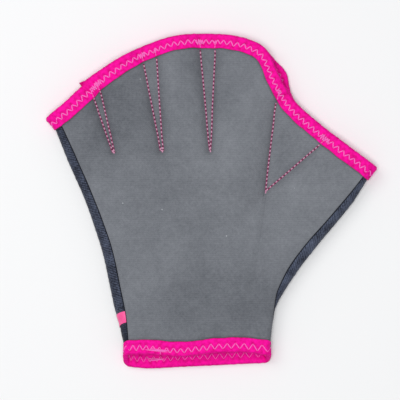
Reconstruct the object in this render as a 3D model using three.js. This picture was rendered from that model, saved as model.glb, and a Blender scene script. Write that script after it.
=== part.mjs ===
// Open-finger webbed neoprene mitt, palm up on a flat surface.
//
// Frame: millimetres, +Z up, +Y towards the fingers, +X towards the thumb. The origin is on the
// surface, under the middle of the mitt.
//
// The mitt is one flattened sleeve, open at the wrist and along the finger edge. Every piece is a
// stretch of that sleeve, so neighbours share one middle surface: the palm panel on top, the back
// panel below, a stretch gusset round each side, and a folded binding round each opening. A point
// of the sleeve has two coordinates: turn runs round it, from 0 to 4, and rise runs along it, from
// 0 at the wrist edge to 1 at the finger edge.

import * as THREE from 'three';

// Materials' thicknesses and clearances
const NEOPRENE = 2.5;
const STRETCH = 1.2;
const TAPE = 0.8;
const GAP = 0.3;
const SEAM_GAP = 0.5;

// Folded binding: its width seen from above, how far it stands over a panel's face, the room left
// beyond the panel's edge inside the fold, and the length of panel that counts as bound
const BINDING_WIDTH = 9.2;
const BINDING_HEIGHT = TAPE + GAP;
const FOLD_ROOM = 0.5;
const FOLD_DEPTH = TAPE + FOLD_ROOM;
const FOLD_SHOULDER = 0.6;
const BOUND_DEPTH = 8.7;

// Where the bound strips end on the rise coordinate, and how finely the body is divided
const RISE_WRIST = 0.06;
const RISE_FINGER = 0.94;
const BODY_ROWS = 12;
const TIP_ROW = 7.5;
const CURL_CELLS = 3;
const GUSSET_CELLS = 8;

// Distance between the two panels' middle surfaces
const WEB_HEIGHT = NEOPRENE + 0.5;
const WEB_HEIGHT_BOUND = NEOPRENE + 2 * BINDING_HEIGHT + GAP;
const SIDE_HEIGHT = 10.5;
const MIDDLE_HEIGHT = [
  { rise: 0.0, height: 10.5 },
  { rise: 0.3, height: 15.5 },
  { rise: 0.6, height: 14.5 },
  { rise: 1.0, height: 13.0 },
];
const CROWN_POWER = 0.7;
const PINCH_REACH = 5.0;
const PINCH_POWER = 1.3;
const BACK_SHARE = 0.5;

// Outer line of the bound finger edge, from the little-finger corner to the thumb corner
const FINGER_EDGE = [
  { x: -99.2, y: 54.6 },
  { x: -90.5, y: 61.8 },
  { x: -81.8, y: 70.2 },
  { x: -71.3, y: 79.5 },
  { x: -54.6, y: 90.3 },
  { x: -38.4, y: 97.7 },
  { x: -22.3, y: 102.3 },
  { x: -6.2, y: 103.7 },
  { x: 9.9, y: 102.9 },
  { x: 21.1, y: 100.5 },
  { x: 30.1, y: 96.6 },
  { x: 35.3, y: 91.5 },
  { x: 39.1, y: 82.8 },
  { x: 42.2, y: 76.3 },
  { x: 45.6, y: 70.2 },
  { x: 52.7, y: 60.5 },
  { x: 64.8, y: 49.6 },
  { x: 79.5, y: 38.0 },
  { x: 99.2, y: 23.3 },
];
const CORNER_INSET = 0.8;

// The back panel reaches further out beside the index finger
const INDEX_STEP = { arc: 168.1, spread: 11, reach: 5.3 };

// Outer lines of the bound wrist edge, from the little-finger side to the thumb side
const PALM_WRIST = [
  { x: -50.8, y: -95.2 },
  { x: -40.0, y: -94.7 },
  { x: -20.0, y: -96.1 },
  { x: 4.0, y: -93.8 },
  { x: 20.0, y: -93.5 },
  { x: 32.8, y: -95.3 },
];
const BACK_WRIST = [
  { x: -50.3, y: -103.3 },
  { x: -40.0, y: -104.2 },
  { x: -20.0, y: -103.3 },
  { x: 0.0, y: -102.4 },
  { x: 20.0, y: -101.4 },
  { x: 32.0, y: -100.9 },
];

// Side lines, from the wrist up: where the panel stops being flat, how far the side bulges
// beyond it, and how far round the bulge the palm panel itself reaches before its seam
const LITTLE_SIDE = [
  { x: -51.9, y: -86.0, bulge: 3.0, curl: 0.8 },
  { x: -53.0, y: -71.3, bulge: 6.5, curl: 0.8 },
  { x: -56.7, y: -51.5, bulge: 6.5, curl: 0.8 },
  { x: -60.5, y: -31.7, bulge: 6.8, curl: 0.8 },
  { x: -66.8, y: -11.9, bulge: 6.4, curl: 0.8 },
  { x: -74.6, y: 8.1, bulge: 6.0, curl: 0.8 },
  { x: -83.0, y: 27.8, bulge: 6.2, curl: 0.8 },
  { x: -91.5, y: 47.0, bulge: 5.0, curl: 0.8 },
];
const THUMB_SIDE = [
  { x: 33.7, y: -86.0, bulge: 2.6, curl: 4.0 },
  { x: 34.9, y: -74.0, bulge: 2.6, curl: 4.0 },
  { x: 36.2, y: -65.0, bulge: 3.0, curl: 2.8 },
  { x: 39.1, y: -55.7, bulge: 4.8, curl: 1.3 },
  { x: 46.4, y: -42.0, bulge: 6.1, curl: 0.8 },
  { x: 57.9, y: -26.2, bulge: 6.6, curl: 0.8 },
  { x: 71.0, y: -11.9, bulge: 6.1, curl: 0.8 },
  { x: 84.6, y: 3.4, bulge: 5.5, curl: 0.8 },
  { x: 94.4, y: 15.0, bulge: 3.8, curl: 0.8 },
];
const MIN_BULGE = 2.6;

// Webs between the fingers: each is stitched shut along a V, with its mouth given in millimetres
// along the finger edge and its tip in the frame. wrist is where its line meets the wrist, from 0
// at the little-finger side to 1 at the thumb side. cells are the grid cells across its mouth.
const WEBS = [
  { name: 'little_ring', from: 25.2, to: 31.7, tipX: -60.8, tipY: 29.9, wrist: 0.20, cells: 1 },
  { name: 'ring_middle', from: 66.0, to: 76.2, tipX: -31.0, tipY: 31.1, wrist: 0.42, cells: 1 },
  { name: 'middle_index', from: 106.4, to: 117.1, tipX: -1.2, tipY: 31.1, wrist: 0.62, cells: 1 },
  { name: 'index_thumb', from: 180.5, to: 215.6, tipX: 32.9, tipY: 5.7, wrist: 0.82, cells: 3 },
];
const TIP_HALF_WIDTH = 1.0;
const WRIST_HALF_WIDTH = 2.5;
const CHANNEL_CELLS = { little: 4, ring: 4, middle: 4, index: 10, thumb: 4 };

// Ribbon tab across the little-finger gusset
const TAB = { lowRise: 0.152, highRise: 0.206, reach: 0.52, cellsRound: 6 };

// Middle of the drawn outline, taken to the frame's origin
const DRAWING_CENTRE = { x: -0.39, y: -0.27, z: 0 };

const COLOURS = {
  palmPanel: 0x74787d,
  backPanel: 0x6e7278,
  gusset: 0x424553,
  binding: 0xf51994,
  tab: 0xff4f93,
};

const smooth = (k) => THREE.MathUtils.smoothstep(k, 0, 1);
const flat = (row) => new THREE.Vector3(row.x, row.y, 0);
const curveOf = (rows) => new THREE.CatmullRomCurve3(rows.map(flat), false, 'centripetal');

const fingerCurve = curveOf(FINGER_EDGE);
const fingerLength = fingerCurve.getLength();
const palmWristCurve = curveOf(PALM_WRIST);
const backWristCurve = curveOf(BACK_WRIST);

// Value of one column of a table, linear between its rows, at a fraction of the table's length
function columnAt(rows, key, fraction) {
  const place = THREE.MathUtils.clamp(fraction, 0, 1) * (rows.length - 1);
  const low = Math.min(Math.floor(place), rows.length - 2);
  return THREE.MathUtils.lerp(rows[low][key], rows[low + 1][key], place - low);
}

// Value of a table's column at a given rise, smooth between its rows
function heightAt(rise) {
  const last = MIDDLE_HEIGHT.length - 1;
  const high = MIDDLE_HEIGHT.findIndex((row, i) => i > 0 && (rise <= row.rise || i === last));
  const [a, b] = [MIDDLE_HEIGHT[high - 1], MIDDLE_HEIGHT[high]];
  return THREE.MathUtils.lerp(a.height, b.height, smooth((rise - a.rise) / (b.rise - a.rise)));
}

const sideCurves = [LITTLE_SIDE, THUMB_SIDE].map((rows) => curveOf(rows));

// Columns of the grid: the nine channels and webs in order, each with its stretch of finger edge
const CHANNELS = [];
{
  const cells = Object.values(CHANNEL_CELLS);
  const stops = WEBS.flatMap((web) => [web.from, web.to]);
  const ends = [CORNER_INSET, ...stops, fingerLength - CORNER_INSET];
  let column = 0;
  for (let i = 0; i < ends.length - 1; i += 1) {
    const count = i % 2 ? WEBS[(i - 1) / 2].cells : cells[i / 2];
    CHANNELS.push({ from: ends[i], to: ends[i + 1], column, count });
    column += count;
  }
}
const COLUMNS = CHANNELS.at(-1).column + CHANNELS.at(-1).count;

// Channel that a column lies in, and how far across it
function channelAt(column) {
  const index = Math.max(CHANNELS.findLastIndex((channel) => column >= channel.column), 0);
  return { index, across: (column - CHANNELS[index].column) / CHANNELS[index].count };
}

// Point of the finger edge's outer line, moved inwards by depth along the line's normal. The back
// panel's line is pushed out beside the index finger.
function fingerLine(column, depth, isBack) {
  const { index, across } = channelAt(column);
  const arc = THREE.MathUtils.lerp(CHANNELS[index].from, CHANNELS[index].to, across);
  const point = fingerCurve.getPointAt(arc / fingerLength);
  const along = fingerCurve.getTangentAt(arc / fingerLength);
  const step = Math.exp(-(((arc - INDEX_STEP.arc) / INDEX_STEP.spread) ** 2)) * INDEX_STEP.reach;
  const inwards = depth - (isBack ? step : 0);
  return point.add(new THREE.Vector3(along.y, -along.x, 0).multiplyScalar(inwards));
}

// Point of the wrist edge's outer line, moved towards the fingers by depth
function wristLine(column, depth, isBack) {
  const curve = isBack ? backWristCurve : palmWristCurve;
  const point = curve.getPointAt(wristShare(column));
  point.y += depth;
  return point;
}

// Share of the wrist's width at a column: the webs' lines meet it at their own places
function wristShare(column) {
  const { index, across } = channelAt(column);
  return THREE.MathUtils.lerp(wristStop(index), wristStop(index + 1), across);
}

function wristStop(boundary) {
  if (boundary === 0) return 0;
  if (boundary > 2 * WEBS.length) return 1;
  const web = WEBS[Math.floor((boundary - 1) / 2)];
  const side = boundary % 2 ? -1 : 1;
  return web.wrist + (side * WRIST_HALF_WIDTH) / (THUMB_SIDE[0].x - LITTLE_SIDE[0].x);
}

// Line that a boundary between two channels follows, from the wrist at 0 to the fingers at 1: a
// side line, or one seam of a web, which runs through the web's tip
function guideLine(boundary, climb) {
  if (boundary === 0) return sideCurves[0].getPoint(climb);
  if (boundary > 2 * WEBS.length) return sideCurves[1].getPoint(climb);
  const web = WEBS[Math.floor((boundary - 1) / 2)];
  const side = boundary % 2 ? -1 : 1;
  const tip = new THREE.Vector3(web.tipX + side * TIP_HALF_WIDTH, web.tipY, 0);
  const tipClimb = TIP_ROW / BODY_ROWS;
  if (climb > tipClimb) {
    const mouth = fingerLine(CHANNELS[boundary].column, BOUND_DEPTH + FOLD_DEPTH, false);
    return tip.lerp(mouth, (climb - tipClimb) / (1 - tipClimb));
  }
  const wrist = palmWristCurve.getPointAt(wristStop(boundary));
  wrist.y += BOUND_DEPTH + FOLD_DEPTH;
  return wrist.lerp(tip, climb / tipClimb);
}

// Plan position of a panel at a column and rise. Between the bound strips it is spread evenly
// between its channel's two guide lines, then eased onto the two bound strips' inner lines.
function planPoint(column, rise, isBack) {
  const deep = BOUND_DEPTH + FOLD_DEPTH;
  if (rise > RISE_FINGER) {
    const out = (rise - RISE_FINGER) / (1 - RISE_FINGER);
    return fingerLine(column, deep, isBack).lerp(fingerLine(column, FOLD_DEPTH, isBack), out);
  }
  if (rise < RISE_WRIST) {
    const up = rise / RISE_WRIST;
    return wristLine(column, FOLD_DEPTH, isBack).lerp(wristLine(column, deep, isBack), up);
  }
  const climb = (rise - RISE_WRIST) / (RISE_FINGER - RISE_WRIST);
  const { index, across } = channelAt(column);
  const spread = (k) => guideLine(index, k).lerp(guideLine(index + 1, k), across);
  const top = fingerLine(column, deep, isBack).sub(spread(1)).multiplyScalar(climb ** 3);
  const foot = wristLine(column, deep, isBack).sub(spread(0)).multiplyScalar((1 - climb) ** 3);
  return spread(climb).add(top).add(foot);
}

// Webs as triangles in plan: the two ends of the mouth and the tip
const webTriangles = WEBS.map((web, i) => {
  const mouth = [1, 2].map((k) => {
    const point = fingerLine(CHANNELS[2 * i + k].column, BOUND_DEPTH + FOLD_DEPTH, false);
    return new THREE.Vector3(point.x, point.y, 0);
  });
  return new THREE.Triangle(mouth[0], new THREE.Vector3(web.tipX, web.tipY, 0), mouth[1]);
});

// How far the webs hold the panels together at a plan point: 1 inside a web, fading with distance
function pinchAt(point) {
  const nearest = new THREE.Vector3();
  let open = 1;
  for (const triangle of webTriangles) {
    triangle.closestPointToPoint(point, nearest);
    open *= 1 - Math.exp(-((nearest.distanceTo(point) / PINCH_REACH) ** PINCH_POWER));
  }
  return 1 - open;
}

// Heights of a panel's middle surface. The height between the panels is crowned from side to side
// and pinched at the webs, and the back panel takes its share of each pinch by rising.
function panelHeights(column, rise) {
  const crown = Math.sin((Math.PI * THREE.MathUtils.clamp(column, 0, COLUMNS)) / COLUMNS);
  const full = THREE.MathUtils.lerp(SIDE_HEIGHT, heightAt(rise), crown ** CROWN_POWER);
  const pinch = pinchAt(planPoint(column, Math.min(rise, RISE_FINGER), false));
  const rowStep = (RISE_FINGER - RISE_WRIST) / BODY_ROWS;
  const bound = smooth((rise - RISE_FINGER + rowStep) / rowStep);
  const least = THREE.MathUtils.lerp(WEB_HEIGHT, WEB_HEIGHT_BOUND, bound);
  const height = THREE.MathUtils.lerp(full, least, pinch);
  const wristBound = smooth((RISE_WRIST + rowStep - rise) / rowStep);
  const lift = BINDING_HEIGHT * Math.max(bound, wristBound);
  const back = NEOPRENE / 2 + lift + BACK_SHARE * (full - height);
  return { back, palm: back + height };
}

function panelPoint(column, rise, isBack) {
  const point = planPoint(column, rise, isBack);
  const heights = panelHeights(column, rise);
  point.z = isBack ? heights.back : heights.palm;
  return point;
}

// Fraction of a side table at a rise: the bound strips keep the table's end values
const sideFraction = (rise) => (rise - RISE_WRIST) / (RISE_FINGER - RISE_WRIST);

// Rounded side profile: a quarter round, a straight and a quarter round, walked by its length.
// Gives how far out and how high above the middle a share of that length lies.
function sideProfile(bulge, half, share) {
  const radius = Math.min(bulge, half);
  const run = bulge - radius;
  const stand = 2 * (half - radius);
  const length = 2 * run + stand + Math.PI * radius;
  const walked = share * length;
  const quarter = (Math.PI / 2) * radius;
  const mirrored = walked > length / 2;
  const way = mirrored ? length - walked : walked;
  let place;
  if (way < run) {
    place = { out: way, up: half };
  } else if (way < run + quarter) {
    const angle = (way - run) / radius;
    place = { out: run + radius * Math.sin(angle), up: half - radius + radius * Math.cos(angle) };
  } else {
    place = { out: bulge, up: half - radius - (way - run - quarter) };
  }
  return { out: place.out, up: mirrored ? -place.up : place.up, length };
}

// Point of a side, at a share of the way round from the palm panel to the back panel
function sidePoint(isThumb, share, rise) {
  const column = isThumb ? COLUMNS : 0;
  const palm = panelPoint(column, rise, false);
  const back = panelPoint(column, rise, true);
  const rows = isThumb ? THUMB_SIDE : LITTLE_SIDE;
  const bulge = Math.max(columnAt(rows, 'bulge', sideFraction(rise)), MIN_BULGE);
  const half = (palm.z - back.z) / 2;
  const { out, up } = sideProfile(bulge, half, share);
  const delta = 0.02;
  const ahead = planPoint(column, Math.min(rise + delta, 1), false);
  const along = ahead.sub(planPoint(column, Math.max(rise - delta, 0), false)).normalize();
  const outwards = new THREE.Vector3(along.y, -along.x, 0).multiplyScalar(isThumb ? 1 : -1);
  return palm.lerp(back, (half - up) / (2 * half)).addScaledVector(outwards, out);
}

// Length of the way round a side at a rise
function sideLength(isThumb, rise) {
  const rows = isThumb ? THUMB_SIDE : LITTLE_SIDE;
  const bulge = Math.max(columnAt(rows, 'bulge', sideFraction(rise)), MIN_BULGE);
  const heights = panelHeights(isThumb ? COLUMNS : 0, rise);
  return sideProfile(bulge, (heights.palm - heights.back) / 2, 0).length;
}

// Middle surface of the whole sleeve. turn: 0 to 1 palm, 1 to 2 thumb side, 2 to 3 back, 3 to 4
// little-finger side
function sleevePoint(turn, rise) {
  const wrapped = THREE.MathUtils.euclideanModulo(turn, 4);
  if (wrapped <= 1) return panelPoint(wrapped * COLUMNS, rise, false);
  if (wrapped < 2) return sidePoint(true, wrapped - 1, rise);
  if (wrapped <= 3) return panelPoint((3 - wrapped) * COLUMNS, rise, true);
  return sidePoint(false, 4 - wrapped, rise);
}

// Outward normal of the sleeve, from the chords to its neighbours round and along
function sleeveNormal(turn, rise) {
  const centre = sleevePoint(turn, rise);
  const chord = (a, b) => b.clone().sub(a).normalize();
  const isPanel = Math.floor(THREE.MathUtils.euclideanModulo(turn, 4)) % 2 === 0;
  const step = isPanel ? 0.5 / COLUMNS : 0.04;
  const round = chord(sleevePoint(turn - step, rise), centre)
    .add(chord(centre, sleevePoint(turn + step, rise)));
  const up = chord(sleevePoint(turn, Math.max(rise - 0.02, 0)),
    sleevePoint(turn, Math.min(rise + 0.02, 1)));
  return round.cross(up).normalize();
}

const node = (turn, rise) => ({ point: sleevePoint(turn, rise), normal: sleeveNormal(turn, rise) });

// Shares of the way round a side at which the palm panel's and the back panel's seams lie
function seamShares(isThumb, rise) {
  const rows = isThumb ? THUMB_SIDE : LITTLE_SIDE;
  const length = sideLength(isThumb, rise);
  return {
    palm: columnAt(rows, 'curl', sideFraction(rise)) / length,
    back: CORNER_INSET / length,
    gap: SEAM_GAP / length,
  };
}

const stepsTo = (count) => Array.from({ length: count + 1 }, (_, i) => i / count);

// One row of nodes of each part of the sleeve, at a rise, in the order of the turn
function ringAt(rise) {
  const columns = stepsTo(COLUMNS);
  const curls = stepsTo(CURL_CELLS).slice(1);
  const thumb = seamShares(true, rise);
  const little = seamShares(false, rise);
  const span = (low, high) => stepsTo(GUSSET_CELLS).map((k) => THREE.MathUtils.lerp(low, high, k));
  const turns = {
    palm: [
      ...curls.map((k) => 4 - k * little.palm).reverse(),
      ...columns,
      ...curls.map((k) => 1 + k * thumb.palm),
    ],
    thumb: span(1 + thumb.palm + thumb.gap, 2 - thumb.back - thumb.gap),
    back: [
      ...curls.map((k) => 2 - k * thumb.back).reverse(),
      ...columns.map((k) => 2 + k),
      ...curls.map((k) => 3 + k * little.back),
    ],
    little: span(3 + little.back + little.gap, 4 - little.palm - little.gap),
  };
  return Object.fromEntries(Object.entries(turns)
    .map(([name, list]) => [name, list.map((turn) => node(turn, rise))]));
}

// Closed mesh from rows of points, each row joined to the next. A closed row joins its last point
// to its first, and closed rows that don't run round are capped at both ends.
function solidFromRows(rows, runsRound) {
  const size = rows[0].length;
  const positions = rows.flat().flatMap((p) => [p.x, p.y, p.z]);
  const at = (row, k) => (row % rows.length) * size + (k % size);
  const triangles = [];
  const quad = (a, b, c, d) => triangles.push(a, b, c, a, c, d);
  const last = runsRound ? rows.length : rows.length - 1;
  for (let row = 0; row < last; row += 1) {
    for (let k = 0; k < size; k += 1) {
      quad(at(row, k), at(row + 1, k), at(row + 1, k + 1), at(row, k + 1));
    }
  }
  if (!runsRound) {
    // A wall's cross-section is a strip: its outer face in order, then its inner face backwards
    for (let k = 0; k < size / 2 - 1; k += 1) {
      const strip = (row) => [at(row, k), at(row, k + 1), at(row, size - 2 - k), at(row, size - 1 - k)];
      quad(...strip(0));
      quad(...strip(rows.length - 1).reverse());
    }
  }
  const geometry = new THREE.BufferGeometry();
  geometry.setAttribute('position', new THREE.Float32BufferAttribute(positions, 3));
  geometry.setIndex(triangles);
  return facingOut(geometry);
}

// Turns a closed mesh's faces outwards if its signed volume says that they point in
function facingOut(geometry) {
  const position = geometry.attributes.position;
  const index = geometry.index.array;
  const corner = [new THREE.Vector3(), new THREE.Vector3(), new THREE.Vector3()];
  let volume = 0;
  for (let i = 0; i < index.length; i += 3) {
    corner.forEach((v, k) => v.fromBufferAttribute(position, index[i + k]));
    volume += corner[0].dot(corner[1].clone().cross(corner[2]));
  }
  if (volume < 0) {
    for (let i = 0; i < index.length; i += 3) [index[i], index[i + 1]] = [index[i + 1], index[i]];
  }
  geometry.computeVertexNormals();
  return geometry;
}

// Wall of a given thickness over a strip of the sleeve, from rows of nodes
function wallOver(rows, thickness, offset = 0) {
  const face = (row, height) => row.map((n) => n.point.clone().addScaledVector(n.normal, height));
  return solidFromRows(rows.map((row) => [
    ...face(row, offset + thickness / 2),
    ...face(row, offset - thickness / 2).reverse(),
  ]), false);
}

// Folded tape's cross-section: depth from the panel's edge, and height over the middle surface.
// hold is half the thickness that the fold holds, with its clearance.
function foldSection(hold) {
  const face = hold + TAPE;
  const end = BINDING_WIDTH - FOLD_DEPTH;
  const slope = 0.7;
  return [
    { depth: end, height: face },
    { depth: FOLD_SHOULDER, height: face },
    { depth: -FOLD_SHOULDER, height: slope * face },
    { depth: -FOLD_DEPTH, height: 0 },
    { depth: -FOLD_SHOULDER, height: -slope * face },
    { depth: FOLD_SHOULDER, height: -face },
    { depth: end, height: -face },
    { depth: end, height: -hold },
    { depth: -FOLD_ROOM, height: -hold },
    { depth: -FOLD_ROOM, height: hold },
    { depth: end, height: hold },
  ];
}

// Binding round an opening, from the ring of nodes at its edge and the ring at the strip's far side
function bindingRound(edgeRing, innerRing) {
  const stations = [];
  const join = (name, hold, first, last) => {
    for (let i = first; i < last; i += 1) {
      stations.push({ edge: edgeRing[name][i], inner: innerRing[name][i], hold });
    }
  };
  const panelHold = NEOPRENE / 2 + GAP;
  const gussetHold = STRETCH / 2 + GAP;
  join('palm', panelHold, 0, edgeRing.palm.length);
  join('thumb', gussetHold, 1, GUSSET_CELLS);
  join('back', panelHold, 0, edgeRing.back.length);
  join('little', gussetHold, 1, GUSSET_CELLS);
  const rows = stations.map(({ edge, inner, hold }) => foldSection(hold).map(({ depth, height }) => {
    const at = edge.point.clone().addScaledVector(edge.normal, height);
    const far = inner.point.clone().addScaledVector(inner.normal, height);
    if (depth >= 0) return at.lerp(far, depth / BOUND_DEPTH);
    const inwards = inner.point.clone().sub(edge.point).normalize();
    return at.addScaledVector(inwards, depth);
  }));
  return solidFromRows(rows, true);
}

// Ribbon tab lying over the little-finger gusset, from the palm panel's seam to past its crown
function tabSolid() {
  const rows = [TAB.lowRise, TAB.highRise].map((rise) => {
    const { palm, gap } = seamShares(false, rise);
    return stepsTo(TAB.cellsRound).map((k) => {
      const share = THREE.MathUtils.lerp(palm + 2 * gap, TAB.reach, k);
      return node(4 - share, rise);
    });
  });
  return wallOver(rows, TAPE, STRETCH / 2 + GAP + TAPE / 2);
}

function meshOf(name, geometry, colour, roughness) {
  const material = new THREE.MeshStandardMaterial({ color: colour, roughness, metalness: 0 });
  const mesh = new THREE.Mesh(geometry, material);
  mesh.name = name;
  return mesh;
}

const bodyRises = stepsTo(BODY_ROWS)
  .map((k) => THREE.MathUtils.lerp(RISE_WRIST, RISE_FINGER, k));
const rings = [0, ...bodyRises, 1].map(ringAt);
const wallOf = (name, thickness) => wallOver(rings.map((ring) => ring[name]), thickness);

const mitt = new THREE.Group();
mitt.add(
  meshOf('palm_panel', wallOf('palm', NEOPRENE), COLOURS.palmPanel, 0.85),
  meshOf('back_panel', wallOf('back', NEOPRENE), COLOURS.backPanel, 0.85),
  meshOf('thumb_gusset', wallOf('thumb', STRETCH), COLOURS.gusset, 0.8),
  meshOf('little_finger_gusset', wallOf('little', STRETCH), COLOURS.gusset, 0.8),
  meshOf('finger_binding', bindingRound(rings.at(-1), rings.at(-2)), COLOURS.binding, 0.6),
  meshOf('wrist_binding', bindingRound(rings[0], rings[1]), COLOURS.binding, 0.6),
  meshOf('side_tab', tabSolid(), COLOURS.tab, 0.45),
);
mitt.position.set(-DRAWING_CENTRE.x, -DRAWING_CENTRE.y, -DRAWING_CENTRE.z);

export default mitt;
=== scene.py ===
"""Open-finger webbed neoprene mitt, palm up on a pale floor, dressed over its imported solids.

The mitt is one flattened sleeve. Every piece takes its place from the same two-parameter surface,
worked out in millimetres as whole arrays: turn runs round the sleeve from 0 to 4 (palm, thumb
side, back, little-finger side) and rise runs from 0 at the wrist edge to 1 at the finger edge.
"""
import logging
import math
from dataclasses import dataclass
from enum import Enum

import bpy
import numpy as np
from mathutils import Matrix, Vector
from numpy.typing import NDArray


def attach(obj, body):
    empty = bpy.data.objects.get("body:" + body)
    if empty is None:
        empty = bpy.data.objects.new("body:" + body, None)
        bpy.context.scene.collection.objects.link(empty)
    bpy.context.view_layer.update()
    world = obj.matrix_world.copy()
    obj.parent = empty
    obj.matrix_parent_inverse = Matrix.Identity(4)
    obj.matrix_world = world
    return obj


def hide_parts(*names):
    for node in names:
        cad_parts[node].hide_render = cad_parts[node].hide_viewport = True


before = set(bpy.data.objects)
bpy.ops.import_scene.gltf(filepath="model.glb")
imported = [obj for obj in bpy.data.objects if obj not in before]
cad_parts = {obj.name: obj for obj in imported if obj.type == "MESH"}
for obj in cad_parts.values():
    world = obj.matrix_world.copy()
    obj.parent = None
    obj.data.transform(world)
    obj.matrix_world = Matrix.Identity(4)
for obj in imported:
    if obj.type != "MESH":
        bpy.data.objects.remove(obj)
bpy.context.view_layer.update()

Array = NDArray[np.float64]
# Vertices, quads and surface coordinates of one mesh
Mesh = tuple[Array, Array, Array]
# Points in plan, or places with the values there
Rows = tuple[tuple[float, float], ...]
Piece = bpy.types.Object
Tree = bpy.types.NodeTree
Socket = bpy.types.NodeSocket
LOG = logging.getLogger("mitt")
MM = 0.001

# Thicknesses and clearances, in millimetres
NEOPRENE = 2.5
STRETCH = 1.2
TAPE = 0.8
GAP = 0.3

# Folded binding: room beyond the sheet's edge inside the fold, and the bound length of sheet
FOLD_ROOM = 0.5
FOLD_DEPTH = TAPE + FOLD_ROOM
BOUND_DEPTH = 8.7
BOUND_REACH = BOUND_DEPTH + FOLD_DEPTH

# Bound strips on the rise coordinate, and the row that the webs' tips lie on
RISE_WRIST = 0.06
RISE_FINGER = 0.94
BODY_ROWS = 12
TIP_CLIMB = 7.5 / BODY_ROWS

# Distance between the two sheets' middle surfaces
BINDING_HEIGHT = TAPE + GAP
WEB_HEIGHT = NEOPRENE + 0.5
WEB_HEIGHT_BOUND = NEOPRENE + 2 * BINDING_HEIGHT + GAP
SIDE_HEIGHT = 10.5
MIDDLE_HEIGHT = ((0.0, 10.5), (0.3, 15.5), (0.6, 14.5), (1.0, 13.0))
CROWN_POWER = 0.7
PINCH_REACH = 5.0
PINCH_POWER = 1.3
BACK_SHARE = 0.5
CORNER_INSET = 0.8
MIN_BULGE = 2.6

# Rise and turn to each side of a point over which the surface's directions are taken
RISE_STEP = 0.02
SIDE_TURN_STEP = 0.04

# Height above the floor of what is pressed flat on it
FLOOR_CLEAR = 0.02

# Rough lengths in millimetres, for turning shares into distances: one side from the wrist to the
# finger edge, a panel's width, and the cloth that one bound strip's worth of rise covers
SIDE_LENGTH = 185.0
PANEL_WIDTH = 150.0
STRIP_RISE_LENGTH = 12.0

# Middle of the drawn outline, taken to the frame's origin
DRAWING_CENTRE = np.array((-0.39, -0.27, 0.0))


def smooth(k: Array) -> Array:
    """Smooth step from 0 to 1: three k squared less two k cubed, held at both ends."""
    held = np.clip(k, 0.0, 1.0)
    return held * held * (3.0 - 2.0 * held)


def bell(distance: Array, reach: float) -> Array:
    """Bell of height 1: e to the minus square of distance over reach."""
    return np.exp(-((distance / reach) ** 2))


def unit(vectors: Array) -> Array:
    """Vectors scaled to length 1."""
    length = np.linalg.norm(vectors, axis=-1, keepdims=True)
    return vectors / np.maximum(length, 1e-12)


def thinned(distance: Array, reach: float, least: float) -> Array:
    """Share of a cloth's thickness near its edge: least at the edge, 1 from reach inwards."""
    return least + (1.0 - least) * np.sqrt(np.clip(distance / reach, 0.0, 1.0))


def arc_lengths(path: Array) -> Array:
    """Length walked to each point of a path, 0 at the first."""
    return np.concatenate(((0.0,), np.cumsum(np.linalg.norm(np.diff(path, axis=0), axis=1))))


def sampled(places: Array, run: Array, rows: Array) -> Array:
    """Rows of numbers read at places between them, where run gives each row's own place."""
    return np.stack([np.interp(places, run, column) for column in rows.T], axis=-1)


def climb_at(rise: Array) -> Array:
    """Share of the way from the wrist's bound strip, 0, to the finger edge's, 1."""
    return np.clip((rise - RISE_WRIST) / (RISE_FINGER - RISE_WRIST), 0.0, 1.0)


def waves(s: Array, seed: int, lengths: tuple[float, ...]) -> Array:
    """Smooth wander along a line: sines of the given wavelengths in seeded phases, mean size 1.

    Args:
        s: Distance along the line.
        seed: Number that sets the phases.
        lengths: Wavelengths, in the same unit as s.

    Returns:
        The sum of the sines over the square root of their count.
    """
    phases = np.random.default_rng(seed).uniform(0.0, 2.0 * math.pi, len(lengths))
    total = sum(np.sin(2.0 * math.pi * s / w + p) for w, p in zip(lengths, phases))
    return total / math.sqrt(len(lengths))


class PlanCurve:
    """Smooth curve in plan through given stations, a centripetal Catmull-Rom spline."""

    def __init__(self, stations: Rows) -> None:
        """Work out each span's cubic and a table of lengths.

        Each span's end slopes are the usual differences of the neighbours' chords, weighted by
        the square roots of the chords' lengths.

        Args:
            stations: Points in millimetres, in order.
        """
        p = np.array(stations, dtype=float)
        p = np.vstack((2.0 * p[0] - p[1], p, 2.0 * p[-1] - p[-2]))
        root = np.sqrt(np.linalg.norm(np.diff(p, axis=0), axis=1))[:, None]
        before, here, after = root[:-2], root[1:-1], root[2:]
        p0, p1, p2, p3 = p[:-3], p[1:-2], p[2:-1], p[3:]
        start = ((p1 - p0) / before - (p2 - p0) / (before + here) + (p2 - p1) / here) * here
        end = ((p2 - p1) / here - (p3 - p1) / (here + after) + (p3 - p2) / after) * here
        self.cubics = np.stack(
            (p1, start, -3 * p1 + 3 * p2 - 2 * start - end, 2 * p1 - 2 * p2 + start + end)
        )
        self.shares = np.linspace(0.0, 1.0, 4001)
        self.lengths = arc_lengths(self.at(self.shares))
        self.length = float(self.lengths[-1])

    def at(self, share: Array) -> Array:
        """Point at a share of the stations, where each span counts the same."""
        spans = self.cubics.shape[1]
        place = np.clip(share, 0.0, 1.0) * spans
        span = np.minimum(place.astype(int), spans - 1)
        w = (place - span)[..., None]
        c = self.cubics[:, span]
        return c[0] + w * (c[1] + w * (c[2] + w * c[3]))

    def at_arc(self, arc: Array) -> Array:
        """Point at a length along the curve."""
        return self.at(np.interp(arc, self.lengths, self.shares))

    def along(self, arc: Array) -> Array:
        """Unit tangent at a length along the curve."""
        share = np.interp(arc, self.lengths, self.shares)
        return unit(self.at(share + 2e-4) - self.at(share - 2e-4))


@dataclass(frozen=True)
class Web:
    """Web between two fingers, stitched shut along a V.

    Attributes:
        mouth: Where its two seams meet the finger edge, along that edge in millimetres.
        tip: Point of the V, in the drawing.
        wrist: Where its line would meet the wrist, from 0 to 1.
        cells: Grid columns across its mouth.
    """

    mouth: tuple[float, float]
    tip: tuple[float, float]
    wrist: float
    cells: int


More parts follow.
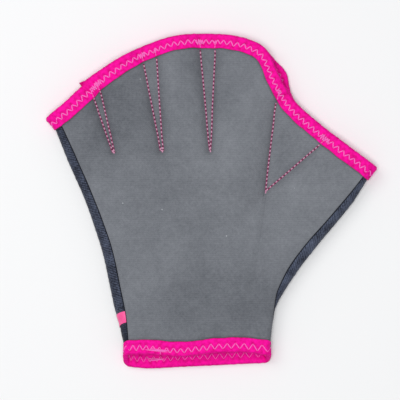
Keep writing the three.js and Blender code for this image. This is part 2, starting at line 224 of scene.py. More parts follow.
# Between the little and ring fingers, ring and middle, middle and index, index and thumb
WEBS = (
    Web((25.2, 31.7), (-60.8, 29.9), 0.20, 1),
    Web((66.0, 76.2), (-31.0, 31.1), 0.42, 1),
    Web((106.4, 117.1), (-1.2, 31.1), 0.62, 1),
    Web((180.5, 215.6), (32.9, 5.7), 0.82, 3),
)
# Grid columns across each of the five finger channels
CHANNEL_CELLS = (4, 4, 4, 10, 4)


@dataclass
class Sleeve:
    """Middle surface of the whole mitt, in millimetres.

    Attributes:
        finger_edge: Outer line of the bound finger edge, little-finger corner to thumb corner.
        palm_wrist: Outer line of the palm's bound wrist edge.
        back_wrist: The same for the back, which is longer.
        little_side: Side line from the wrist up: x, y, bulge beyond it and the palm's curl.
        thumb_side: The same on the thumb side.
        step: How far along the finger edge the back reaches out, how wide and how far.
        tip_half_width: Half the distance between a V's two seams at its tip.
        wrist_half_width: The same where the lines meet the wrist.
    """

    finger_edge: Rows = (
        (-99.2, 54.6), (-90.5, 61.8), (-81.8, 70.2), (-71.3, 79.5), (-54.6, 90.3), (-38.4, 97.7),
        (-22.3, 102.3), (-6.2, 103.7), (9.9, 102.9), (21.1, 100.5), (30.1, 96.6), (35.3, 91.5),
        (39.1, 82.8), (42.2, 76.3), (45.6, 70.2), (52.7, 60.5), (64.8, 49.6), (79.5, 38.0),
        (99.2, 23.3),
    )
    palm_wrist: Rows = (
        (-50.8, -95.2), (-40.0, -94.7), (-20.0, -96.1), (4.0, -93.8), (20.0, -93.5), (32.8, -95.3),
    )
    back_wrist: Rows = (
        (-50.3, -103.3), (-40.0, -104.2), (-20.0, -103.3), (0.0, -102.4), (20.0, -101.4),
        (32.0, -100.9),
    )
    little_side: tuple[tuple[float, float, float, float], ...] = (
        (-51.9, -86.0, 3.0, 0.8), (-53.0, -71.3, 6.5, 0.8), (-56.7, -51.5, 6.5, 0.8),
        (-60.5, -31.7, 6.8, 0.8), (-66.8, -11.9, 6.4, 0.8), (-74.6, 8.1, 6.0, 0.8),
        (-83.0, 27.8, 6.2, 0.8), (-91.5, 47.0, 5.0, 0.8),
    )
    thumb_side: tuple[tuple[float, float, float, float], ...] = (
        (33.7, -86.0, 2.6, 4.0), (34.9, -74.0, 2.6, 4.0), (36.2, -65.0, 3.0, 2.8),
        (39.1, -55.7, 4.8, 1.3), (46.4, -42.0, 6.1, 0.8), (57.9, -26.2, 6.6, 0.8),
        (71.0, -11.9, 6.1, 0.8), (84.6, 3.4, 5.5, 0.8), (94.4, 15.0, 3.8, 0.8),
    )
    step: tuple[float, float, float] = (168.1, 11.0, 5.3)
    tip_half_width: float = 1.0
    wrist_half_width: float = 2.5

    def __post_init__(self) -> None:
        """Make the curves, the channels' tables and the webs' guide lines and triangles."""
        self.fingers = PlanCurve(self.finger_edge)
        self.wrists = (PlanCurve(self.palm_wrist), PlanCurve(self.back_wrist))
        sides = (self.little_side, self.thumb_side)
        self.sides = tuple(PlanCurve(tuple(row[:2] for row in rows)) for rows in sides)
        self.bulges, self.curls = (tuple(np.array(rows)[:, k] for rows in sides) for k in (2, 3))
        mouths = [stop for web in WEBS for stop in web.mouth]
        self.arcs = np.array([CORNER_INSET, *mouths, self.fingers.length - CORNER_INSET])
        counts = [n for pair in zip(CHANNEL_CELLS, [web.cells for web in WEBS]) for n in pair]
        counts.append(CHANNEL_CELLS[-1])
        self.starts = np.concatenate(((0,), np.cumsum(counts))).astype(float)
        self.columns = float(self.starts[-1])
        spread = self.wrist_half_width / (self.thumb_side[0][0] - self.little_side[0][0])
        stops = [web.wrist + side * spread for web in WEBS for side in (-1, 1)]
        self.wrist_stops = np.array([0.0, *stops, 1.0])
        self.mouths = self.finger_line(self.starts, np.float64(BOUND_REACH), False)
        foot = self.wrists[0].at_arc(self.wrist_stops * self.wrists[0].length)
        self.feet = foot + np.array((0.0, BOUND_REACH))
        self.tips = np.array([web.tip for web in WEBS])

    def channel(self, column: Array) -> tuple[Array, Array]:
        """Index of the channel or web that a column lies in, and how far across it."""
        last = len(self.starts) - 2
        index = np.clip(np.searchsorted(self.starts, column, side="right") - 1, 0, last)
        across = (column - self.starts[index]) / (self.starts[index + 1] - self.starts[index])
        return index, across

    def finger_line(self, column: Array, depth: Array, back: bool) -> Array:
        """Finger edge's outer line moved inwards along its own normal.

        Args:
            column: Column round the panel.
            depth: Distance inwards.
            back: Whether it is the back's line, pushed out beside the index finger.

        Returns:
            Points in plan.
        """
        index, across = self.channel(column)
        arc = self.arcs[index] + (self.arcs[index + 1] - self.arcs[index]) * across
        arc = np.clip(arc, 0.0, self.fingers.length)
        along = self.fingers.along(arc)
        centre, spread, reach = self.step
        pushed = depth - (bell(arc - centre, spread) * reach if back else 0.0)
        inwards = np.stack((along[..., 1], -along[..., 0]), axis=-1)
        return self.fingers.at_arc(arc) + inwards * np.asarray(pushed)[..., None]

    def wrist_line(self, column: Array, depth: float, back: bool) -> Array:
        """Wrist edge's outer line moved towards the fingers by a depth."""
        index, across = self.channel(column)
        share = self.wrist_stops[index]
        share = share + (self.wrist_stops[index + 1] - share) * across
        curve = self.wrists[int(back)]
        return curve.at_arc(np.clip(share, 0.0, 1.0) * curve.length) + np.array((0.0, depth))

    def guide(self, boundary: Array, climb: Array) -> Array:
        """Line between two channels: a side line, or a V's seam carried on to the wrist.

        Args:
            boundary: Its number, 0 at the little-finger side to 9 at the thumb side.
            climb: 0 at the wrist's bound strip to 1 at the finger edge's.

        Returns:
            Points in plan.
        """
        boundary, climb = np.broadcast_arrays(boundary, climb)
        points = np.empty(boundary.shape + (2,))
        last = len(self.starts) - 1
        for b in range(last + 1):
            here = boundary == b
            if b in (0, last):
                points[here] = self.sides[b // last].at(climb[here])
                continue
            side = -1.0 if b % 2 else 1.0
            tip = self.tips[(b - 1) // 2] + np.array((side * self.tip_half_width, 0.0))
            knots = np.stack((self.feet[b], tip, self.mouths[b]))
            for axis in (0, 1):
                points[here, axis] = np.interp(climb[here], (0.0, TIP_CLIMB, 1.0), knots[:, axis])
        return points

    def plan(self, column: Array, rise: Array, back: bool) -> Array:
        """Place of a panel in plan.

        Points are spread evenly between their channel's two guide lines, then eased onto the
        bound strips' inner lines with the cube of the climb and of its rest. In a bound strip
        they run straight from its inner line to its outer line.

        Args:
            column: Column round the panel.
            rise: Rise along the sleeve.
            back: Whether it is the back panel.

        Returns:
            Points in plan.
        """
        column, rise = np.broadcast_arrays(column, rise)
        climb = climb_at(rise)
        index, across = self.channel(column)

        def spread(k: Array) -> Array:
            low = self.guide(index, k)
            return low + (self.guide(index + 1, k) - low) * across[..., None]

        top = self.finger_line(column, np.float64(BOUND_REACH), back)
        rim = self.finger_line(column, np.float64(FOLD_DEPTH), back)
        foot = self.wrist_line(column, BOUND_REACH, back)
        hem = self.wrist_line(column, FOLD_DEPTH, back)
        up = climb[..., None]
        points = spread(climb) + (top - spread(np.ones_like(climb))) * up**3
        points += (foot - spread(np.zeros_like(climb))) * (1.0 - up) ** 3
        points += (rim - top) * np.clip((rise - RISE_FINGER) / (1 - RISE_FINGER), 0, 1)[..., None]
        points += (hem - foot) * np.clip((RISE_WRIST - rise) / RISE_WRIST, 0, 1)[..., None]
        return points

    def web_distance(self, plan: Array, web: int) -> Array:
        """Distance in plan to a web's triangle, 0 inside it."""
        corners = (self.mouths[2 * web + 1], self.tips[web], self.mouths[2 * web + 2])
        inside = np.ones(plan.shape[:-1], dtype=bool)
        nearest = np.full(plan.shape[:-1], np.inf)
        for a, b in zip(corners, corners[1:] + corners[:1]):
            nearest = np.minimum(nearest, line_distance(plan, a, b))
            edge = b - a
            off = plan - a
            inside &= (edge[0] * off[..., 1] - edge[1] * off[..., 0]) >= 0
        return np.where(inside, 0.0, nearest)

    def pinch(self, plan: Array) -> Array:
        """How far the webs hold the panels together: 1 in a web, fading with distance."""
        free = np.ones(plan.shape[:-1])
        for web in range(len(WEBS)):
            away = self.web_distance(plan, web) / PINCH_REACH
            free *= 1.0 - np.exp(-(away**PINCH_POWER))
        return 1.0 - free

    def heights(self, column: Array, rise: Array) -> tuple[Array, Array]:
        """Heights of the two panels' middle surfaces.

        The height between them is crowned from side to side by a power of a half sine and eased
        to its least at the webs. The back takes its share of that by rising.

        Args:
            column: Column round the panel.
            rise: Rise along the sleeve.

        Returns:
            The back's height and the palm's.
        """
        column, rise = np.broadcast_arrays(column, rise)
        crown = np.sin(np.pi * np.clip(column, 0.0, self.columns) / self.columns)
        full = np.full(rise.shape, MIDDLE_HEIGHT[0][1])
        for (a, low), (b, high) in zip(MIDDLE_HEIGHT, MIDDLE_HEIGHT[1:]):
            full = full + (high - low) * smooth((rise - a) / (b - a))
        full = SIDE_HEIGHT + (full - SIDE_HEIGHT) * np.maximum(crown, 0.0) ** CROWN_POWER
        pinch = self.pinch(self.plan(column, np.minimum(rise, RISE_FINGER), False))
        row = (RISE_FINGER - RISE_WRIST) / BODY_ROWS
        bound = smooth((rise - RISE_FINGER + row) / row)
        least = WEB_HEIGHT + (WEB_HEIGHT_BOUND - WEB_HEIGHT) * bound
        height = full + (least - full) * pinch
        lift = BINDING_HEIGHT * np.maximum(bound, smooth((RISE_WRIST + row - rise) / row))
        low = NEOPRENE / 2 + lift + BACK_SHARE * (full - height)
        return low, low + height

    def panel(self, column: Array, rise: Array, back: bool) -> Array:
        """Point of a panel's middle surface."""
        low, high = self.heights(column, rise)
        plan = self.plan(column, rise, back)
        return np.concatenate((plan, (low if back else high)[..., None]), axis=-1)

    def at_side(self, tables: tuple[Array, ...], thumb: bool, rise: Array) -> Array:
        """Value of a side's table at a rise."""
        table = tables[int(thumb)]
        return np.interp(climb_at(rise) * (len(table) - 1), np.arange(len(table)), table)

    def side_size(self, thumb: bool, rise: Array) -> tuple[Array, Array, Array]:
        """Bulge, half height and length of the way round a side at a rise."""
        bulge = np.maximum(self.at_side(self.bulges, thumb, rise), MIN_BULGE)
        low, high = self.heights(np.float64(self.columns if thumb else 0.0), rise)
        half = (high - low) / 2
        radius = np.minimum(bulge, half)
        return bulge, half, 2 * (bulge - radius) + 2 * (half - radius) + np.pi * radius

    def side(self, thumb: bool, share: Array, rise: Array) -> Array:
        """Point of a side's middle surface.

        The way round is a straight, a quarter round, a straight down, a quarter round and a
        straight back in, walked by its length from the palm to the back.

        Args:
            thumb: Whether it is the thumb side.
            share: Share of the way round, 0 at the palm.
            rise: Rise along the sleeve.

        Returns:
            Points in millimetres.
        """
        share, rise = np.broadcast_arrays(share, rise)
        column = np.float64(self.columns if thumb else 0.0)
        palm = self.panel(column, rise, False)
        back = self.panel(column, rise, True)
        bulge, half, length = self.side_size(thumb, rise)
        radius = np.minimum(bulge, half)
        run = bulge - radius
        walked = share * length
        mirrored = walked > length / 2
        way = np.where(mirrored, length - walked, walked)
        angle = np.clip((way - run) / radius, 0.0, np.pi / 2)
        out = np.minimum(way, run) + radius * np.sin(angle)
        drop = np.maximum(way - run - np.pi / 2 * radius, 0.0)
        up = half - radius + radius * np.cos(angle) - drop
        up = np.where(mirrored, -up, up)
        ahead = self.plan(column, np.minimum(rise + RISE_STEP, 1.0), False)
        along = unit(ahead - self.plan(column, np.maximum(rise - RISE_STEP, 0.0), False))
        turned = np.stack((along[..., 1], -along[..., 0]), axis=-1) * (1.0 if thumb else -1.0)
        points = palm + (back - palm) * ((half - up) / (2 * half))[..., None]
        points[..., :2] += turned * out[..., None]
        return points

    def point(self, turn: Array, rise: Array) -> Array:
        """Point of the whole sleeve's middle surface at a turn and a rise."""
        turn, rise = np.broadcast_arrays(np.mod(turn, 4.0), rise)
        points = np.empty(turn.shape + (3,))
        for quarter in range(4):
            here = (turn >= quarter) & (turn < quarter + 1)
            if not here.any():
                continue
            t = turn[here] - quarter
            r = rise[here]
            if quarter == 0:
                points[here] = self.panel(t * self.columns, r, False)
            elif quarter == 2:
                points[here] = self.panel((1.0 - t) * self.columns, r, True)
            else:
                points[here] = self.side(quarter == 1, t if quarter == 1 else 1.0 - t, r)
        return points

    def normal(self, turn: Array, rise: Array) -> Array:
        """Outward unit normal: the cross product of the chords round and along the sleeve."""
        turn, rise = np.broadcast_arrays(turn, rise)
        centre = self.point(turn, rise)
        is_panel = np.floor(np.mod(turn, 4.0)) % 2 == 0
        step = np.where(is_panel, 0.5 / self.columns, SIDE_TURN_STEP)
        around = unit(centre - self.point(turn - step, rise))
        around = around + unit(self.point(turn + step, rise) - centre)
        along = self.point(turn, np.minimum(rise + RISE_STEP, 1.0))
        along = along - self.point(turn, np.maximum(rise - RISE_STEP, 0.0))
        return unit(np.cross(around, along))

    def seams(self, thumb: bool, rise: Array) -> tuple[Array, Array, Array]:
        """Shares of the way round a side where the palm's and back's seams lie, and its length."""
        length = self.side_size(thumb, rise)[2]
        return self.at_side(self.curls, thumb, rise) / length, CORNER_INSET / length, length


def line_distance(plan: Array, a: Array, b: Array) -> Array:
    """Distance in plan to a straight line from a to b."""
    edge = b - a
    along = np.clip(((plan - a) @ edge) / (edge @ edge), 0.0, 1.0)
    return np.linalg.norm(plan - a - along[..., None] * edge, axis=-1)


SLEEVE = Sleeve()


def shown(name: str, points: Array, faces: Array, stands_for: tuple[str, ...] = (),
          uv: Array | None = None, shade: Array | None = None) -> Piece:
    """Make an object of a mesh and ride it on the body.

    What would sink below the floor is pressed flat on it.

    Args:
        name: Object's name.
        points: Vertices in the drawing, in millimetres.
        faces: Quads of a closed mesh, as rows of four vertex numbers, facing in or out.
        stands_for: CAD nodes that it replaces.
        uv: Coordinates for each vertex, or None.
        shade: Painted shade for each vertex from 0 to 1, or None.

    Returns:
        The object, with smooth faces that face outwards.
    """
    mesh = bpy.data.meshes.new(name)
    flat = (points.reshape(-1, 3) - DRAWING_CENTRE) * MM
    flat[:, 2] = np.maximum(flat[:, 2], FLOOR_CLEAR * MM)
    quads = np.ascontiguousarray(facing_out(points, faces), dtype=np.int32)
    mesh.vertices.add(len(flat))
    mesh.vertices.foreach_set("co", flat.astype(np.float32).ravel())
    mesh.loops.add(quads.size)
    mesh.loops.foreach_set("vertex_index", quads.ravel())
    mesh.polygons.add(len(quads))
    mesh.polygons.foreach_set("loop_start", np.arange(0, quads.size, 4, dtype=np.int32))
    mesh.polygons.foreach_set("loop_total", np.full(len(quads), 4, dtype=np.int32))
    mesh.polygons.foreach_set("use_smooth", np.ones(len(quads), dtype=bool))
    if uv is not None:
        layer = mesh.uv_layers.new(name="surface")
        layer.data.foreach_set("uv", uv.reshape(-1, 2)[quads.ravel()].astype(np.float32).ravel())
    if shade is not None:
        held = mesh.attributes.new("shade", "FLOAT", "POINT")
        held.data.foreach_set("value", shade.astype(np.float32).ravel())
    mesh.update(calc_edges=True)
    mesh.validate()
    piece = bpy.data.objects.new(name, mesh)
    bpy.context.scene.collection.objects.link(piece)
    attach(piece, "root")
    if stands_for:
        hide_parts(*stands_for)
    LOG.info("%s: %d faces", name, len(quads))
    return piece


def grid_quads(rows: int, columns: int, columns_close: bool = False,
               rows_close: bool = False) -> Array:
    """Quads of a grid of vertices in row order, whose columns or rows may close on themselves."""
    r = np.arange(rows if rows_close else rows - 1)[:, None]
    c = np.arange(columns if columns_close else columns - 1)[None, :]
    below, above = r * columns, (r + 1) % rows * columns
    d = (c + 1) % columns
    return np.stack((below + c, below + d, above + d, above + c), axis=-1).reshape(-1, 4)


def shell_quads(rows: int, columns: int) -> Array:
    """Quads of a closed shell: an outer grid, an inner grid after it and the rim between them.

    Args:
        rows: Rows of each grid.
        columns: Columns of each grid.

    Returns:
        Quads that face outwards where the outer grid's normal is columns cross rows.
    """
    outer = grid_quads(rows, columns)
    number = np.arange(rows * columns).reshape(rows, columns)
    inside = number + rows * columns

    def rim(line: Array, under: Array) -> Array:
        return np.stack((under[:-1], under[1:], line[1:], line[:-1]), axis=-1)

    return np.concatenate((
        outer,
        outer[:, ::-1] + rows * columns,
        rim(number[0], inside[0]),
        rim(number[-1], inside[-1])[:, ::-1],
        rim(number[:, 0], inside[:, 0])[:, ::-1],
        rim(number[:, -1], inside[:, -1]),
    ))


def cap_quads(columns: int, first: int) -> Array:
    """Quads that fill a loop of an even number of vertices, from its first vertex's number."""
    i = np.arange(columns // 2 - 1)
    return np.stack((i, i + 1, columns - 2 - i, columns - 1 - i), axis=-1) + first


def facing_out(points: Array, quads: Array) -> Array:
    """Quads of a closed mesh, turned over if its signed volume says that they point in."""
    a, b, c, d = (points.reshape(-1, 3)[quads[:, k]] for k in range(4))
    volume = np.einsum("ij,ij->i", a, np.cross(b, c)) + np.einsum("ij,ij->i", a, np.cross(c, d))
    return quads if volume.sum() > 0 else quads[:, ::-1]


# Rings of a short stitch, points round each, and the least share of its section at its ends
STITCH_RINGS = 8
STITCH_SIDES = 8
STITCH_END = 0.04


def shell(outer: Array, inner: Array) -> tuple[Array, Array]:
    """Vertices and quads of the closed shell between an outer and an inner grid of points."""
    points = np.concatenate((outer.reshape(-1, 3), inner.reshape(-1, 3)))
    return points, shell_quads(*outer.shape[:2])


def tube_quads(rings: int, sides: int) -> Array:
    """Quads of a row of rings and of the caps that close its two ends."""
    return np.concatenate((
        grid_quads(rings, sides, columns_close=True),
        cap_quads(sides, 0)[:, ::-1],
        cap_quads(sides, (rings - 1) * sides),
    ))


def stitches(starts: Array, ends: Array, normals: Array, radius: float, arch: float) -> Mesh:
    """Many short lengths of thread, each a capsule arched over the cloth.

    Each is a circle carried from its start to its end. The radius falls off with the sixth power
    of the distance from the middle, and the middle stands up by arch times a parabola.

    Args:
        starts: First ends, one row each.
        ends: Second ends.
        normals: Directions that point away from the cloth.
        radius: Thread's radius.
        arch: How far its middle stands over its ends.

    Returns:
        Vertices, quads and surface coordinates, along in millimetres and round in turns.
    """
    rings, sides = STITCH_RINGS, STITCH_SIDES
    along = ends - starts
    side = unit(np.cross(normals, along))
    up = unit(np.cross(along, side))
    u = np.linspace(0.0, 1.0, rings)[:, None]
    v = np.arange(sides)[None, :] / sides
    fall = np.sqrt(np.maximum(1.0 - np.abs(2.0 * u - 1.0) ** 6, STITCH_END))
    across = radius * fall * np.cos(2.0 * np.pi * v)
    rise = radius * fall * np.sin(2.0 * np.pi * v) + arch * (1.0 - (2.0 * u - 1.0) ** 2)
    points = (
        starts[:, None, None] + along[:, None, None] * u[None, ..., None]
        + side[:, None, None] * across[None, ..., None] + up[:, None, None] * rise[None, ..., None]
    )
    one = tube_quads(rings, sides)
    quads = (one[None] + (np.arange(len(starts)) * rings * sides)[:, None, None]).reshape(-1, 4)
    length = np.linalg.norm(along, axis=-1)[:, None, None]
    uv = np.stack(np.broadcast_arrays(length * u[None], np.broadcast_to(v, (1, rings, sides))), -1)
    return points.reshape(-1, 3), quads, uv.reshape(-1, 2)


def cord(path: Array, normals: Array, radius: Array, lift: float = 0.0) -> Mesh:
    """Thread laid along a path: a circle carried along it, capped at both ends.

    Args:
        path: Points of the path.
        normals: Directions away from the cloth at those points.
        radius: Radius at each point.
        lift: How far its middle stands over the path.

    Returns:
        Vertices, quads and surface coordinates, along in millimetres and round in turns.
    """
    along = unit(np.gradient(path, axis=0))
    side = unit(np.cross(normals, along))
    up = unit(np.cross(along, side))
    v = 2.0 * np.pi * np.arange(STITCH_SIDES)[None, :, None] / STITCH_SIDES
    size = np.broadcast_to(radius, len(path))[:, None, None]
    points = (
        path[:, None] + up[:, None] * lift
        + size * (side[:, None] * np.cos(v) + up[:, None] * np.sin(v))
    )
    around = v[..., 0] / (2.0 * np.pi)
    uv = np.stack(np.broadcast_arrays(arc_lengths(path)[:, None], around), axis=-1)
    return points.reshape(-1, 3), tube_quads(len(path), STITCH_SIDES), uv.reshape(-1, 2)


def joined(parts: list[Mesh]) -> Mesh:
    """Several meshes as one: their vertices in order, with the quads' numbers moved along."""
    counts = np.cumsum([0] + [len(points) for points, _, _ in parts[:-1]])
    return (
        np.concatenate([points for points, _, _ in parts]),
        np.concatenate([quads + n for (_, quads, _), n in zip(parts, counts)]),
        np.concatenate([uv for _, _, uv in parts]),
    )


def spaced(path: Array, normals: Array, pitch: float, share: float,
           first: float = 0.5) -> tuple[Array, Array, Array]:
    """Starts, ends and normals of running stitches along a path.

    Args:
        path: Points of the path.
        normals: Directions away from the cloth there.
        pitch: Distance from stitch to stitch.
        share: Share of the pitch that a stitch covers.
        first: Middle of the first stitch, in pitches.

    Returns:
        The stitches' starts, ends and normals.
    """
    run = arc_lengths(path)
    middle = np.arange(first * pitch, run[-1], pitch)
    half = share * pitch / 2
    ends = (sampled(middle + shift, run, path) for shift in (-half, half))
    return *ends, unit(sampled(middle, run, normals))


def sewn(name: str, mesh: Mesh) -> Piece:
    """Show a piece of thread, which stands for no CAD node."""
    points, quads, uv = mesh
    return shown(name, points, quads, (), uv)


@dataclass
class WebSeams:
    """The eight lines of running stitches that close the webs, through both sheets.

    Attributes:
        pitch: Distance from stitch to stitch.
        groove: How deep the stitches pull the sheet in.
        groove_reach: How wide that groove is.
        tip_gaps: Half the distance between each web's two seams at its tip.
    """

    pitch: float = 2.5
    groove: float = 0.45
    groove_reach: float = 1.5
    tip_gaps: tuple[float, float, float, float] = (1.1, 1.1, 0.8, 0.4)

    def lines(self) -> list[tuple[Array, Array]]:
        """Each seam's mouth and tip in plan, in order along the finger edge."""
        sides = np.array((-1.0, 1.0) * 4) * np.repeat(self.tip_gaps, 2)
        tips = np.repeat(SLEEVE.tips, 2, axis=0) + np.stack((sides, 0.0 * sides), axis=-1)
        return list(zip(SLEEVE.mouths[1:9], tips))

    def pull(self, plan: Array) -> Array:
        """Depth of the groove at points in plan: a bell of the distance to the nearest seam."""
        nearest = np.full(plan.shape[:-1], np.inf)
        for mouth, tip in self.lines():
            nearest = np.minimum(nearest, line_distance(plan, tip, mouth))
        return self.groove * bell(nearest, self.groove_reach)

    def course(self, line: int, count: int = 90) -> tuple[Array, Array]:
        """Columns and rises of a seam from its tip to its mouth.

        The grid's own column line starts beside the tip, so the seam leans off it towards the
        web's middle by what brings it to the seam's own distance from the tip.

        Args:
            line: Number of the seam, 0 to 7.
            count: Number of points.

        Returns:
            Columns and rises.
        """
        climb = np.linspace(TIP_CLIMB, 1.0, count)
        part = (climb - TIP_CLIMB) / (1.0 - TIP_CLIMB)
        first = 2 * (line // 2) + 1
        low = SLEEVE.guide(np.full(count, first), climb)
        high = SLEEVE.guide(np.full(count, first + 1), climb)
        side = 1.0 if line % 2 == 0 else -1.0
        shift = side * (SLEEVE.tip_half_width - self.tip_gaps[line // 2])
        need = np.array((shift, 0.0)) * (1.0 - part)[:, None]
        wide = high - low
        lean = np.einsum("ij,ij->i", need, wide) / np.einsum("ij,ij->i", wide, wide)
        start = SLEEVE.starts[first + line % 2]
        cells = SLEEVE.starts[first + 1] - SLEEVE.starts[first]
        return start + lean * cells, RISE_WRIST + climb * (RISE_FINGER - RISE_WRIST)


WEB_SEAMS = WebSeams()


# Painted shade on the panels' face, where less light falls: x, y, reach and depth of each place; and
# painted shade beside the web seams
PAINTED_SHADE_PATCHES = ((22.0, -75.0, 42.0, 0.38), (-75.0, 60.0, 45.0, 0.36), (-20.0, 95.0, 30.0, 0.12))
PAINTED_SHADE_BESIDE_SEAMS = 0.35

# The foam's slow dents: their height, the direction that they run in, and their wavelengths
DENTS = ((0.16, 0.8, 0.5, (61.0, 37.0, 23.0)), (0.14, -0.4, 0.9, (53.0, 31.0, 19.0)))


@dataclass
class Panel:
    """Neoprene sheet of one face of the mitt, with a knit on both of its sides.

    Attributes:
        back: Whether it is the back panel.
        cells: Grid cells in one column of the sleeve.
        rows: Grid rows between the bound strips.
        curl_cells: Grid cells round each side.
        edge: Width over which the sheet is pressed thin at its side seams.
        end: Rise over which it is pressed thin at its bound ends.
        least: Share of its thickness that is left at the very edge.
        tape_shadow_width: Width of the painted shadow line beside a tape.
        tape_shadow_dark: How dark that painted shadow is.
        calm: Rise before a bound strip where the dents start to fade, and over what rise.
    """

    back: bool
    cells: int = 6
    rows: int = 170
    curl_cells: int = 6
    edge: float = 1.6
    end: float = 0.01
    least: float = 0.45
    tape_shadow_width: float = 1.3
    tape_shadow_dark: float = 0.55
    calm: tuple[float, float] = (0.02, 0.03)

    @property
    def name(self) -> str:
        """Name of the CAD node that it replaces."""
        return "back_panel" if self.back else "palm_panel"

    def swell(self, points: Array, rise: Array) -> Array:
        """How far the outer face stands off its sheet: seam grooves and slow dents of the foam."""
        x, y = points[..., 0], points[..., 1]
        seed = 20 if self.back else 10
        slow = sum(
            high * waves(x * along + y * up, seed + k, lengths)
            for k, (high, along, up, lengths) in enumerate(DENTS)
        )
        start, over = self.calm
        bound = smooth((rise - RISE_FINGER + start) / over)
        bound = bound + smooth((RISE_WRIST + start - rise) / over)
        return (slow - WEB_SEAMS.pull(points[..., :2])) * (1.0 - np.clip(bound, 0.0, 1.0))

    def face(self, turn: Array, rise: Array) -> tuple[Array, Array]:
        """Points of the outer face and its normals."""
        middle = SLEEVE.point(turn, rise)
        normal = SLEEVE.normal(turn, rise)
        stand = NEOPRENE / 2 + self.swell(middle, rise)
        return middle + normal * stand[..., None], normal

    def build(self) -> Piece:
        """Make the sheet: the sleeve's strip moved out and in by half the thickness.

        The outer face carries the grooves and dents, and both faces close in over the last
        millimetre and a half at the side seams and at the bound edges.

        Returns:
            The panel's object.
        """
        low = np.linspace(0.0, RISE_WRIST, 8, endpoint=False)
        mid = np.linspace(RISE_WRIST, RISE_FINGER, self.rows, endpoint=False)
        rise = np.concatenate((low, mid, np.linspace(RISE_FINGER, 1.0, 9)))
        thumb, little = SLEEVE.seams(True, rise), SLEEVE.seams(False, rise)
        first, last = (thumb, little) if self.back else (little, thumb)
        before, after = (side[int(self.back)][:, None] for side in (first, last))
        walk_before, walk_after = before * first[2][:, None], after * last[2][:, None]
        curl = np.sin(np.linspace(0.0, np.pi / 2, self.curl_cells + 1))[1:]
        flat = np.linspace(0.0, 1.0, int(SLEEVE.columns) * self.cells + 1)
        turn = np.concatenate((
            -before * curl[::-1], np.broadcast_to(flat, (len(rise), len(flat))), 1.0 + after * curl
        ), axis=1)
        run = np.concatenate((
            walk_before * (1.0 - curl[::-1]),
            np.minimum(walk_before + flat * PANEL_WIDTH, walk_after + flat[::-1] * PANEL_WIDTH),
            walk_after * (1.0 - curl),
        ), axis=1)
        rises = np.broadcast_to(rise[:, None], turn.shape)
        turn = turn + (2.0 if self.back else 0.0)
        middle = SLEEVE.point(turn, rises)
        normal = SLEEVE.normal(turn, rises)
        rim = np.clip(np.minimum(run / self.edge, np.minimum(rises, 1.0 - rises) / self.end), 0, 1)
        thin = thinned(rim * (2.0 - rim), 1.0, self.least)
        half = NEOPRENE / 2 * thin
        outer = middle + normal * (half + self.swell(middle, rises) * thin)[..., None]
        points, quads = shell(outer, middle - normal * half[..., None])
        # painted shadow cast by the tapes' edges onto the panel
        dark = np.tile(self.beside_tape(turn, rises).ravel(), 2)
        # painted shade of the face: three wide darker places and the grooves beside the seams
        shade = np.clip(self.painted_shade(points) + dark, 0.0, 1.0)
        return shown(self.name, points, quads, (self.name,), shade=shade)

    def beside_tape(self, turn: Array, rise: Array) -> Array:
        """Painted shadow on the face right beside the two tapes, where their edges would cast it."""
        dark = np.zeros(turn.shape)
        shares = ((FINGER, (1.0 - rise) / (1.0 - RISE_FINGER)), (WRIST, rise / RISE_WRIST))
        for tape, share in shares:
            far = tape.width(np.interp(turn, tape.turns, tape.run[:-1])) - FOLD_DEPTH
            depth = BOUND_DEPTH * np.minimum(share, 1.0)
            depth += STRIP_RISE_LENGTH * np.maximum(share - 1.0, 0.0)
            dark += self.tape_shadow_dark * smooth((far + self.tape_shadow_width - depth) / self.tape_shadow_width)
        return dark

    def painted_shade(self, points: Array) -> Array:
        """Painted shade on the face: wide bells at three places, and in the grooves beside the seams.
        """
        plan = points[:, :2]
        dark = np.zeros(len(points))
        for x, y, reach, depth in PAINTED_SHADE_PATCHES:
            dark += depth * bell(np.hypot(plan[:, 0] - x, plan[:, 1] - y), reach)
        return np.clip(dark + PAINTED_SHADE_BESIDE_SEAMS * WEB_SEAMS.pull(plan), 0.0, 1.0)


# Rise of the side ribbon's middle, and how deep and how far along it draws the gusset in
RIBBON_RISE = 0.179
RIBBON_PULL = 1.4
RIBBON_REACH = 7.0


def ribbon_pull(rise: Array, inside: Array) -> Array:
    """How far the ribbon draws the little-finger gusset in.

    It is a bell of the distance from the ribbon's middle, times the sine of the way round the
    side, so that it is nothing at both seams.

    Args:
        rise: Rises on the sleeve.
        inside: Share of the gusset's width, from one seam to the other.

    Returns:
        Depths in millimetres.
    """
    away = (rise - RIBBON_RISE) * SIDE_LENGTH
    return RIBBON_PULL * bell(away, RIBBON_REACH) * np.sin(np.pi * np.clip(inside, 0.0, 1.0))


